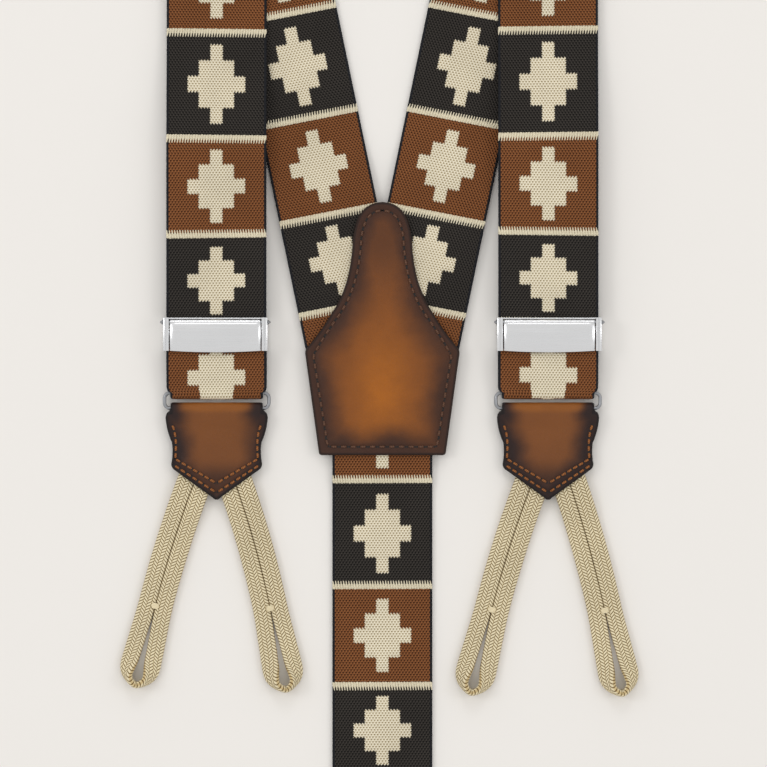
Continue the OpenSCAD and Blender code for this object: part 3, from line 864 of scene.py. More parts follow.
@dataclass
class ShoulderStrap:
    """One shoulder strap: back leg, two flat folds, front, ring turn and the ply behind."""

    side: Side
    cloth: bpy.types.Material
    seam: bpy.types.Material
    lift: float = 0.0
    lean: float = 11.75
    shoulder_y: float = 440.0
    apex_y: float = -31.2
    fold_r: float = 1.3
    run_top: float = 80.0
    tail_from: float = 6.42
    rear_bar_y: float = 20.4
    turn_r: float = 1.6

    def __post_init__(self) -> None:
        """Works out the strip's stations."""
        lean, crease = math.radians(self.lean), math.radians((90 + self.lean) / 2)
        self.crease = crease
        self.shift = math.pi * self.fold_r
        self.fold_x = -(self.shoulder_y - self.apex_y) * math.tan(lean)
        self.leg_len = (self.shoulder_y - self.apex_y) / math.cos(lean)
        shift_x = self.shift * (math.cos(math.pi / 4) - math.sin(crease))
        shift_y = self.shift * (math.sin(math.pi / 4) + math.cos(crease))
        self.corner = self.leg_len - FRONT_X - self.fold_x - shift_x
        self.strip_top = self.corner + self.shoulder_y + shift_y
        front = [self.strip_top - y - self.lift for y in (123.3, 86.0, 51.7, 20.1)]
        along = [24.6, 59.6, 92.4, 126.7, 163.9, *front, front[-1] + 36.0, front[-1] + 141.0]
        lines = [-1, 0, 1, 2, 3, 22, 23, 24, 25, 26, 29]
        self.webbing = Webbing(Figure(along, lines), across=-self.side.value)

    def rolled(self, q: Array, w: Array) -> tuple[Array, Array]:
        """Bends a strip point upwards round a crease at q = 0."""
        r, turn = self.fold_r, np.clip(q, 0, self.shift) / self.fold_r
        flat = np.where(q < 0, q, np.where(q < self.shift, (r - w) * np.sin(turn), self.shift - q))
        up = np.where(q < 0, w, np.where(q < self.shift, r - (r - w) * np.cos(turn), 2 * r - w))
        return flat, up

    def over_shoulder(self, u: Array, v: Array, w: Array) -> Array:
        """Point of the leg, folds or front strap.

        Args:
            u: Distance across the strap.
            v: Distance along the strip from the legs' apex.
            w: Height above the strap's middle.

        Returns:
            Points in millimetres.
        """
        half = math.cos(math.pi / 4)
        q, s = (u + v - self.corner) * half, (v - self.corner - u) * half
        flat, up = self.rolled(q, -w)
        x, y, z, far = (flat - s) * half, self.corner + (flat + s) * half, -up, q >= 0
        lean = math.radians(self.lean)
        x, y = (x * math.cos(lean) - y * math.sin(lean) - self.fold_x,
                x * math.sin(lean) + y * math.cos(lean) + self.apex_y - self.shoulder_y)
        c, n = math.cos(self.crease), math.sin(self.crease)
        q, s = y * c - x * n, x * c + y * n
        flat, up = self.rolled(q, z)
        flat = np.where(far, self.shift - q, flat)
        up = np.where(far, 2 * self.fold_r - z, up)
        x = self.fold_x + s * c - flat * n
        y = self.shoulder_y + s * n + flat * c
        front_z = ON_FLOOR + 4 * self.fold_r
        here = self.strip_top - v
        front = (IN_ADJUSTER + (OVER_LEG - IN_ADJUSTER) * smooth(self.run_top, self.run_top + 50, here)
                 + (front_z - OVER_LEG) * smooth(360.0, 410.5, here) - front_z)
        lift = np.where(v > self.corner, front, (ON_BACKING - ON_FLOOR) * (1 - smooth(100.0, 118.0, v)))
        x = np.where(v < 120.0, np.minimum(x, -0.02), x)
        return np.stack([x * -self.side.value, y, ON_FLOOR + up + lift], -1)

    def run_path(self) -> tuple[Array, int]:
        """Middle of the webbing from the run's top to the sewn end, as (along, up).

        Returns:
            The path's points and the index at which the ply behind begins.
        """
        turn = np.linspace(0, math.pi, 15)[1:-1]
        to_ring = np.linspace(8.0, RING_Y, 12)
        to_bar = np.linspace(self.rear_bar_y, self.rear_bar_y - 5, 8)[1:]
        tail_z = ON_FLOOR + WEB_T + 0.02
        front = [(self.run_top, IN_ADJUSTER), (8.5, IN_ADJUSTER)]
        front += [(y, IN_ADJUSTER + (AT_RING - IN_ADJUSTER) * smooth(8.0, RING_Y, y)) for y in to_ring]
        front += [(RING_Y - self.turn_r * math.sin(a), BAR_Z + self.turn_r * math.cos(a)) for a in turn]
        behind = [(RING_Y, ON_FLOOR), (self.rear_bar_y, ON_FLOOR)]
        bar_y = self.rear_bar_y
        behind += [(bar_y + self.turn_r * math.sin(a), BAR_Z - self.turn_r * math.cos(a)) for a in turn]
        behind += [(bar_y, AT_RING)]
        behind += [(y, AT_RING + (tail_z - AT_RING) * smooth(bar_y, bar_y - 5, y)) for y in to_bar]
        behind += [(self.tail_from, tail_z)]
        path = evenly(np.array(front + behind), 0.45, axes=2)
        gone = np.abs(path[:, 0] - RING_Y) + np.abs(path[:, 1] - ON_FLOOR)
        return path, int(gone.argmin())

    def on_path(self, path: Array, start: float) -> Place:
        """Makes the place function for webbing that follows a side-view path.

        Args:
            path: Points (along, up) at even steps.
            start: Distance along the strip at the path's first point.

        Returns:
            A function of (across, along the strip, up).
        """
        gone = start + np.r_[0, np.cumsum(np.linalg.norm(np.diff(path, axis=0), axis=1))]
        way = np.gradient(path, axis=0)
        way /= np.linalg.norm(way, axis=1)[:, None]

        def place(u: Array, v: Array, w: Array) -> Array:
            """Point for distances across, along and up."""
            y, z = np.interp(v, gone, path[:, 0]), np.interp(v, gone, path[:, 1])
            ty, tz = np.interp(v, gone, way[:, 0]), np.interp(v, gone, way[:, 1])
            narrow = 1 - 0.074 * (1 - np.sqrt(1 - np.clip((RING_Y + 2.3 - y) / 2.3, 0, 1) ** 2))
            x = FRONT_X * self.side.value + u * narrow * -self.side.value
            return np.stack([x, y + tz * w, z - ty * w], -1)

        return place

    def build(self) -> list[bpy.types.Object]:
        """Builds the strap's three lengths and the thread in its end."""
        word = self.side.word
        web = self.webbing
        over = Shape()
        last = self.strip_top - self.run_top
        rows = web.rows(42.0, last, 2.6, ((463.0, 548.0, 0.6), (98.0, 120.0, 1.3), (last - 52, last, 1.6)))
        web.skin(over, self.over_shoulder, rows)
        web.dividers(over, self.over_shoulder, 55.0, last)
        shoulder = over.piece(f"{word}_shoulder_webbing", self.cloth)
        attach(shoulder, "root")
        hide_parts(f"{word}_back_leg", f"{word}_shoulder_fold", f"{word}_front_strap")

        path, cut = self.run_path()
        place = self.on_path(path, last)
        lengths = last + np.r_[0, np.cumsum(np.linalg.norm(np.diff(path, axis=0), axis=1))]
        run = Shape()
        web.skin(run, place, web.rows(last, lengths[cut], 2.0, ((lengths[cut] - 18, lengths[cut], 0.45),)))
        web.dividers(run, place, last, lengths[cut] - 4)
        run_piece = run.piece(f"{word}_run_webbing", self.cloth)
        x = FRONT_X * self.side.value
        top, ring = (world(np.array([x, y, IN_ADJUSTER])) for y in (self.run_top, RING_Y))
        tuple(top)
        tuple(ring)
        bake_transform(run_piece)
        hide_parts(f"{word}_front_run", f"{word}_strap_turn")

        back = Shape()
        web.skin(back, place, web.rows(lengths[cut], lengths[-1], 0.9, ()))
        back_piece = back.piece(f"{word}_return_webbing", self.cloth)
        low, high = (world(np.array([x, y, ON_FLOOR])) for y in (RING_Y, 6.0))
        tuple(low)
        tuple(high)
        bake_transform(back_piece)
        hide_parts(f"{word}_return_run")

        thread = Shape()
        for down in (8.5, 11.5):
            y = self.rear_bar_y - down
            line = np.array([(x - WEB_HALF + 2, y), (x + WEB_HALF - 2, y)])
            stitches(thread, line, lambda p: np.full(len(p), 2 * WEB_T + 0.02), 2.4, 1.7)
        seam = thread.piece(f"{word}_tail_thread", self.seam)
        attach(seam, f"{word}_adjuster")
        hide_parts(f"{word}_tail_seam")
        return [shoulder, run_piece, back_piece, seam]


@dataclass
class BackStrap:
    """The back strap from the patch to its ring, with its end turned up and sewn."""

    cloth: bpy.types.Material
    seam: bpy.types.Material
    end_y: float = -225.0
    turn_r: float = 1.6

    def build(self) -> list[bpy.types.Object]:
        """Builds the webbing and the seam above the ring."""
        turn = np.linspace(0, math.pi, 15)[1:-1]
        top = [(5.8, ON_BACKING), (-27.0, ON_BACKING)]
        for start, end, low, high, count in ((-27.1, -41.1, ON_BACKING, ON_FLOOR, 12),
                                             (-180.0, -219.0, ON_FLOOR, AT_RING, 20)):
            top += [(y, low + (high - low) * smooth(start, end, y)) for y in np.linspace(start, end, count)]
        top += [(self.end_y, AT_RING)]
        top += [(self.end_y - self.turn_r * math.sin(a), BAR_Z + self.turn_r * math.cos(a)) for a in turn]
        top += [(self.end_y, ON_FLOOR), (self.end_y + 22, ON_FLOOR)]
        path = evenly(np.array(top), 0.6, axes=2)
        gone = -5.8 + np.r_[0, np.cumsum(np.linalg.norm(np.diff(path, axis=0), axis=1))]
        way = np.gradient(path, axis=0)
        way /= np.linalg.norm(way, axis=1)[:, None]

        def place(u: Array, v: Array, w: Array) -> Array:
            """Point for distances across, along and up."""
            y, z = np.interp(v, gone, path[:, 0]), np.interp(v, gone, path[:, 1])
            ty, tz = np.interp(v, gone, way[:, 0]), np.interp(v, gone, way[:, 1])
            narrow = 1 - 0.074 * (1 - np.sqrt(1 - np.clip((self.end_y + 2.3 - y) / 2.3, 0, 1) ** 2))
            return np.stack([u * narrow, y + tz * w, z - ty * w], -1)

        along = [-36.0, -1.0, 34.0, 71.2, 105.5, 137.7, 277.7]
        web = Webbing(Figure(along, [-2, -1, 0, 1, 2, 3, 7], tilt=0.004))
        shape = Shape()
        ring = gone[0] + 5.8 - self.end_y
        rows = web.rows(gone[0], gone[-1], 2.6, ((22.0, 42.0, 1.5), (ring - 45, ring + 8, 0.7)))
        web.skin(shape, place, rows)
        web.dividers(shape, place, gone[0], ring - 6)
        strap = shape.piece("back_strap_webbing", self.cloth)
        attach(strap, "root")
        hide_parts("back_strap")

        thread = Shape()
        y = self.end_y + 4.5
        line = np.array([(2 - WEB_HALF, y), (WEB_HALF - 2, y)])
        stitches(thread, line, lambda p: np.full(len(p), AT_RING + WEB_T / 2), 2.4, 1.7)
        seam = thread.piece("back_seam_thread", self.seam)
        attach(seam, "root")
        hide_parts("back_seam")
        return [strap, seam]


# ---------- leather tabs and button loops ----------


@dataclass(frozen=True)
class Loop:
    """Centre line of one button loop: root, leans in degrees at the tab and the tip, and length."""

    root_x: float
    lean_top: float
    lean_tip: float
    reach: float
    root_y: float = -36.6
    bend: float = 45.0
    steady: float = 14.0
    drawn: float = 71.9

    def stretched(self, along: Array) -> Array:
        """Distance along this loop for a distance along a loop of the drawn length."""
        past = np.clip(along - self.steady, 0.0, None)
        return along - past + past * (self.reach - self.steady) / (self.drawn - self.steady)

    def at(self, across: Array, along: Array) -> tuple[Array, Array]:
        """Place on the loop from distances across and along it."""
        turn = self.lean_tip - self.lean_top
        bent = np.clip(along, 0.0, self.bend)
        lean = np.radians(self.lean_top + turn * bent / self.bend)
        start = math.radians(self.lean_top)
        k = math.radians(turn) / self.bend
        past = along - bent
        x = self.root_x + (math.cos(start) - np.cos(lean)) / k + past * np.sin(lean)
        y = self.root_y - (np.sin(lean) - math.sin(start)) / k - past * np.cos(lean)
        return x + across * np.cos(lean), y + across * np.sin(lean)

    def line(self, across: float, first: float, last: float, n: int = 20) -> Array:
        """Polyline (n, 2) that runs along the loop at one distance across."""
        along = np.linspace(first, last, n)
        return np.column_stack(self.at(np.full(n, across), along))


@dataclass
class ButtonLoop:
    """One flat cotton braid out of the tab, round its button eye and back."""

    name: str
    loop: Loop
    centre: tuple[float, float]
    body: str
    node: str
    braid: bpy.types.Material
    width: float = 6.0
    thick: float = 2.4
    plait: float = 1.5

    def route(self) -> Array:
        """The braid's middle as rows of across, along, height and roll in degrees."""
        down = [(-3.05, -3.5, BAR_Z, 0), (-3.05, 5.0, BAR_Z, 0), (-3.05, 14.0, 1.22, 0), (-3.05, 28.0, 1.22, 0),
                (-3.05, 44.0, 1.22, 0), (-3.55, 55.0, 1.22, 0), (-3.95, 62.4, 1.72, 10), (-4.1, 67.0, 2.87, 40),
                (-2.9, 70.2, 3.23, 75)]
        up = [(-u, s, z, roll) for u, s, z, roll in reversed(down)]
        knots = np.array(down + [(0.0, self.loop.drawn, 3.02, 90)] + up, dtype=float)
        knots[:, 1] = self.loop.stretched(knots[:, 1])
        return spline(knots, 40)

    def middle(self) -> Array:
        """Points (x, y, z, roll) along the braid at even steps."""
        route = self.route()
        x, y = self.loop.at(route[:, 0], route[:, 1])
        points = np.column_stack([x + self.centre[0], y + self.centre[1], route[:, 2], route[:, 3]])
        return evenly(points, 0.24)

    def build(self, tack: bpy.types.Object) -> bpy.types.Object:
        """Args:
            tack: The thread knots that lie on it. Not used.

        Returns:
            The braid's piece.
        """
        line = self.middle()
        way = np.gradient(line[:, :3], axis=0)
        way /= np.linalg.norm(way, axis=1)[:, None]
        level = np.column_stack([-way[:, 1], way[:, 0], np.zeros(len(way))])
        level /= np.linalg.norm(level, axis=1)[:, None]
        upward = np.cross(way, level)
        roll = np.radians(line[:, 3])[:, None]
        wide = level * np.cos(roll) + upward * np.sin(roll)
        face = upward * np.cos(roll) - level * np.sin(roll)
        section = round_section(self.width / 2, self.thick / 2, 44)
        gone = np.r_[0, np.cumsum(np.linalg.norm(np.diff(line[:, :3], axis=0), axis=1))]
        rings = (line[:, None, :3] + wide[:, None, :] * section[None, :, :1]
                 + face[:, None, :] * section[None, :, 1:])
        across = np.broadcast_to(section[None, :, 0] / self.plait + 2, rings.shape[:2])
        along = np.broadcast_to(gone[:, None], across.shape)
        marks = np.stack([across, along, np.zeros(across.shape)], -1)
        shape = Shape()
        shape.tube(rings, marks)
        piece = shape.piece(self.name, self.braid, flat=75.0)
        path = [tuple(p) for p in world(line[::6, :3])]
        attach(piece, self.body)
        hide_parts(self.node)
        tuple(path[0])
        return piece


@dataclass
class LeatherTab:
    """Leather folded round the ring's lower bar, sewn shut round two button loops."""

    prefix: str
    body: str
    centre: tuple[float, float]
    loops: tuple[Loop, Loop]
    leather: bpy.types.Material
    thread: bpy.types.Material
    hole: bpy.types.Material
    half: float = 17.85
    thick: float = 1.1
    fold_r: float = 1.0
    gap: float = 1.2

    def outline(self) -> Array:
        """Right half of the tab from the fold to its point, as (x, y)."""
        neck = self.half - 1.75
        side = [(neck, TAB_BAR)]
        side += curve((neck, TAB_BAR - 0.8), (self.half - 0.2, TAB_BAR - 1), (self.half, TAB_BAR - 3.3))
        side += curve((self.half, TAB_BAR - 3.3), (self.half - 0.3, TAB_BAR - 8),
                      (self.half - 2.2, TAB_BAR - 12))
        side += curve((self.half - 2.2, TAB_BAR - 12), (self.half - 2.7, TAB_BAR - 16),
                      (self.half - 1.95, TAB_BAR - 19.5))
        side += curve((self.half - 1.95, TAB_BAR - 19.5), (self.half - 1.9, TAB_BAR - 21),
                      (self.half - 3.7, TAB_BAR - 22), 4)
        side += curve((1.4, TAB_POINT + 0.9), (0.7, TAB_POINT + 0.1), (0, TAB_POINT), 3)
        return np.array(side)

    def half_width(self, y: Array) -> Array:
        """Half width of the tab at height y."""
        side = self.outline()[::-1]
        order = np.argsort(side[:, 1], kind="stable")
        return np.interp(y, side[order, 1], side[order, 0])

    def open_by(self, x: Array, y: Array) -> Array:
        """Half the gap between the two faces of the leather."""
        spots = np.stack([x, y], -1)
        flat = np.ones(x.shape)
        for loop in self.loops:
            flat = flat * smooth(4.6, 8.6, far_from(spots, loop.line(0.0, -22.0, 12.0, 20)))
        held = (1 - flat) * (1 - smooth(-31.0, -13.0, y))
        bar = smooth(TAB_BAR - 9.0, TAB_BAR - 1.0, y) * self.fold_r
        return np.maximum(0.03 + (self.gap - 0.03) * held, bar)

    def seam_lines(self) -> list[Array]:
        """Thread lines on the right half: down the side, then the two rows of the point."""
        x = self.half - 3.4
        corner = TAB_BAR - 17.7
        side = np.array(curve((x + 1.2, TAB_BAR - 5.6), (x - 0.8, TAB_BAR - 9.5), (x, corner), 10))
        inner = np.array([(x, corner), (0.5, TAB_POINT + 6.2)])
        outer = np.array([(x + 0.4, corner - 2.2), (0.5, TAB_POINT + 2.9)])
        return [side, inner, outer]

    def top(self, points: Array) -> Array:
        """Height of the upper face at places (n, 2) in the tab's own frame."""
        x, y = points[..., 0], points[..., 1]
        return BAR_Z + self.open_by(x, y) + self.thick + self.dip(x, y)

    def dip(self, x: Array, y: Array) -> Array:
        """Groove pressed by the thread and the rounded rim, as a change of height."""
        spots = np.stack([np.abs(x), y], -1)
        sewn = np.min([far_from(spots, line) for line in self.seam_lines()], axis=0)
        rim = far_from(spots, self.outline())
        rolled = 0.42 * (1 - np.sqrt(np.clip(1 - np.clip(1 - rim / 0.8, 0, 1) ** 2, 0, 1)))
        return -0.26 * np.exp(-((sewn / 0.75) ** 2)) - rolled * (y < TAB_BAR + 0.2)

    def build(self) -> list[bpy.types.Object]:
        """Builds the leather, its thread and its needle holes."""
        rows = np.r_[np.linspace(TAB_POINT + 0.15, -38.0, 10), np.linspace(-37.6, TAB_BAR, 62)]
        turn = np.linspace(0, math.pi, 17)[1:-1]
        xi = np.linspace(-1, 1, 61)
        xi = np.sign(xi) * (1 - (1 - np.abs(xi)) ** 1.25)
        cx, cy = self.centre

        def sheet(lift: float) -> Array:
            """Rows of points at a distance out from the leather's inner face."""
            top_x = xi[None, :] * self.half_width(rows)[:, None]
            top_y = np.broadcast_to(rows[:, None], top_x.shape)
            up = self.open_by(top_x, top_y) + lift
            dip = self.dip(top_x, top_y) * (lift > 0.5)
            neck = xi * (self.half - 1.75)
            rim = 0.35 * np.clip(1 - (self.half - 1.75 - np.abs(neck)) / 0.8, 0, 1) ** 2 * (lift > 0.5)
            r = self.fold_r + lift - rim
            bend = [np.column_stack([neck, TAB_BAR + r * math.sin(a), BAR_Z + r * math.cos(a)]) for a in turn]
            upper = np.stack([top_x, top_y, BAR_Z + up + dip], -1)
            lower = np.stack([top_x, top_y, BAR_Z - up - dip * 0.6], -1)[::-1]
            return np.concatenate([upper, np.array(bend), lower])

        outer, inner = sheet(self.thick), sheet(0.0)
        rings = np.concatenate([outer, inner[:, ::-1]], 1)
        spots = np.stack([np.abs(rings[..., 0]), rings[..., 1]], -1)
        sides = self.outline()
        at_fold = np.where(spots[..., 1] > TAB_BAR - 2, self.half - 1.75 - spots[..., 0], 99)
        away = np.minimum(far_from(spots, sides), at_fold)
        y = rings[..., 1]
        fold = smooth(TAB_BAR - 2.2, TAB_BAR + 0.4, y) * (1 - smooth(10.0, 15.5, spots[..., 0]))
        corner = smooth(7.5, 14.5, spots[..., 0]) * smooth(TAB_BAR - 15.0, TAB_BAR - 2.0, y) * (1 - 0.8 * fold)
        point = smooth(TAB_BAR - 17.0, TAB_BAR - 25.0, y) * 0.75
        # The inner faces inside the fold are set fully dark: painted shade between the plies.
        lining = np.zeros(away.shape)
        lining[:, len(xi):] = 1.0
        warmth = np.clip(fold + 0.22 * smooth(-33, -14, y) * (1 - smooth(4, 13, spots[..., 0])), 0, 1)
        shade = np.maximum(np.maximum(corner, point), lining)
        marks = np.stack([np.maximum(away, 0) + 2.5 * fold, warmth, shade], -1)
        rings = rings + np.array([cx, cy, 0.0])
        shape = Shape()
        shape.tube(rings, marks)
        tab = shape.piece(f"{self.prefix}_leather", self.leather)
        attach(tab, self.body)
        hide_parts(self.prefix)

        def high(points: Array) -> Array:
            """Height of the upper face at places (n, 2) in the braces."""
            return self.top(points - np.array([cx, cy]))

        sewn, pierced = Shape(), Shape()
        for sign in (-1, 1):
            for line in self.seam_lines():
                line = line * np.array([sign, 1]) + np.array([cx, cy])
                needle_holes(pierced, stitches(sewn, line, high, 2.35, 2.05, 0.78, 0.24), high, 0.55)
        thread = sewn.piece(f"{self.prefix}_thread", self.thread)
        holes = pierced.piece(f"{self.prefix}_needle_holes", self.hole)
        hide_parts(f"{self.prefix}_stitching")
        for piece in (thread, holes):
            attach(piece, self.body)

        return [tab, thread, holes]


@dataclass
class BarTack:
    """A small oval thread knot across the two strands, where the button eye begins."""

    loop: Loop
    centre: tuple[float, float]
    at: float = 43.4

    def build(self, name: str, body: str, cotton: bpy.types.Material) -> bpy.types.Object:
        """Builds the knot as wraps of thread side by side.

        Args:
            name: Name of the piece.
            body: Body that it rides on.
            cotton: Its finish.

        Returns:
            The knot's piece.
        """
        shape = Shape()
        for down in np.linspace(-0.7, 0.7, 4):
            reach = 1.35 * math.sqrt(1 - (down / 1.15) ** 2)
            t = np.linspace(-1, 1, 11)
            x, y = self.loop.at(t * reach, self.loop.stretched(np.full(11, self.at)) + down)
            z = 2.28 + 0.62 * np.sqrt(np.clip(1 - t**2 * 0.85, 0, 1))
            a = np.linspace(0, 2 * math.pi, 8, endpoint=False)
            lean = math.radians(self.loop.lean_tip)
            along = np.array([math.sin(lean), -math.cos(lean)])
            middle = np.column_stack([x + self.centre[0], y + self.centre[1]])
            flat = middle[:, None, :] + along * (0.26 * np.cos(a))[None, :, None]
            up = z[:, None] + 0.24 * np.sin(a)[None, :]
            marks = np.zeros(flat.shape[:2] + (3,))
            marks[..., 2] = 1.0
            shape.tube(np.concatenate([flat, up[..., None]], -1), marks)
        tack = shape.piece(name, cotton)
        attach(tack, body)
        return tack


# ---------- junction patch ----------


@dataclass
class JunctionPatch:
    """Face and backing leather that hold the three straps, with the thread round the edge."""

    leather: bpy.types.Material
    lining: bpy.types.Material
    thread: bpy.types.Material
    hole: bpy.types.Material
    half: float = 27.2
    shoulder: float = 11.6
    bottom: float = -25.1
    base: float = 2.6
    thick: float = 1.5
    inset: float = 3.0

    def edge(self, e: float) -> Array:
        """Right half of the outline from head to foot, drawn in by e."""
        neck, flare = (10.3 - e, 50.5 + e / 3), (self.half - 9.7 - e * 0.8, 25 - e / 3)
        high = (self.half - 0.8 - e, self.shoulder + 0.9 - e / 2)
        low = (self.half - 0.2 - e, self.shoulder - 1.2 - e / 2)
        points = curve((0, PATCH_TOP - e), (9 - e, PATCH_TOP - e), neck)
        points += curve(neck, (11 - e, 34), flare) + curve(flare, (self.half - 6, 18.5 - e), high)
        points += curve(high, (self.half - e, self.shoulder - e / 2), low, 3)
        foot = self.bottom + e
        points += curve((22.2 - e, foot + 0.8), (22 - e, foot), (21.2 - e, foot), 3)
        return np.array(points + [(0.0, self.bottom + e)])

    def face(self, points: Array) -> Array:
        """Height of the face leather at places (..., 2)."""
        spots = np.stack([np.abs(points[..., 0]), points[..., 1]], -1)
        rim = far_from(spots, self.edge(0.0))
        sewn = far_from(spots, self.edge(self.inset))
        rolled = 0.5 * (1 - np.sqrt(np.clip(1 - np.clip(1 - rim / 0.9, 0, 1) ** 2, 0, 1)))
        inner = np.clip(rim - self.inset, 0, None)
        dome = 0.75 * (1 - np.exp(-((inner / 3.2) ** 1.6)))
        y = points[..., 1]
        creased = smooth(-6, -20, y) * (1 - smooth(2, 0, inner))
        crease = 0.07 * np.sin(1.7 * y + 0.05 * points[..., 0]) * creased
        return self.base + self.thick - rolled - 0.3 * np.exp(-((sewn / 0.8) ** 2)) + dome + crease

    def sheet(self, inset: float, high: Callable[[Array], Array], low: float,
              fine: int) -> tuple[Array, Array]:
        """Rings of a leather sheet, row by row from foot to head.

        Args:
            inset: How far its outline is drawn in.
            high: Gives the height of its upper face.
            low: Height of its lower face.
            fine: Number of points across.

        Returns:
            The rings, and the distance of every point to the outline.
        """
        side = self.edge(inset)[:-1][::-1]
        rows = np.r_[np.linspace(self.bottom + inset, self.bottom + inset + 4, 14)[:-1],
                     np.linspace(self.bottom + inset + 4, PATCH_TOP - inset - 6, fine)[:-1],
                     PATCH_TOP - inset - 6 * np.linspace(1, 0.004, 26) ** 2]
        width = np.interp(rows, side[:, 1], side[:, 0])
        xi = np.linspace(-1, 1, fine)
        xi = np.sign(xi) * (1 - (1 - np.abs(xi)) ** 1.3)
        x = width[:, None] * xi[None, :]
        y = np.broadcast_to(rows[:, None], x.shape)
        upper = np.stack([x, y, high(np.stack([x, y], -1))], -1)
        lower = np.stack([x, y, np.full(x.shape, low)], -1)[:, ::-1]
        rings = np.concatenate([upper, lower], 1)
        away = far_from(np.stack([np.abs(rings[..., 0]), rings[..., 1]], -1), self.edge(inset))
        return rings, away

    def build(self) -> list[bpy.types.Object]:
        """Builds both leathers, the thread and its needle holes."""
        rings, away = self.sheet(0.0, self.face, self.base, 110)
        x, y = rings[..., 0], rings[..., 1]
        warmth = np.exp(-((x / 11.0) ** 2) - ((y + 3.0) / 22.0) ** 2)
        head = smooth(26.0, 50.0, y) * 0.55
        foot = smooth(-14.0, -25.0, y) * 0.45
        shade = np.maximum(head, foot)
        # The face leather's lower face is set fully dark: painted shade under the face leather.
        shade[:, rings.shape[1] // 2:] = 1.0
        face = Shape()
        face.tube(rings, np.stack([away, warmth, shade], -1))
        top = face.piece("patch_face", self.leather)
        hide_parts("patch_leather")

        rings, away = self.sheet(0.4, lambda p: np.full(p.shape[:-1], 1.2), 0.0, 60)
        under = Shape()
        under.tube(rings, np.stack([away, np.zeros_like(away), np.zeros_like(away)], -1))
        lining = under.piece("patch_lining", self.lining)
        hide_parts("patch_backing")

        sewn, pierced = Shape(), Shape()
        half_line = self.edge(self.inset)
        line = np.vstack([half_line, half_line[::-1][1:] * np.array([-1, 1])])
        spots = stitches(sewn, line, self.face, 3.35, 2.1, 0.8, 0.26)
        needle_holes(pierced, spots, self.face, 0.75)
        thread = sewn.piece("patch_thread", self.thread)
        holes = pierced.piece("patch_needle_holes", self.hole)
        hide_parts("patch_stitching")
        for piece in (top, lining, thread, holes):
            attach(piece, "root")
        return [top, lining, thread, holes]


# ---------- adjusters ----------


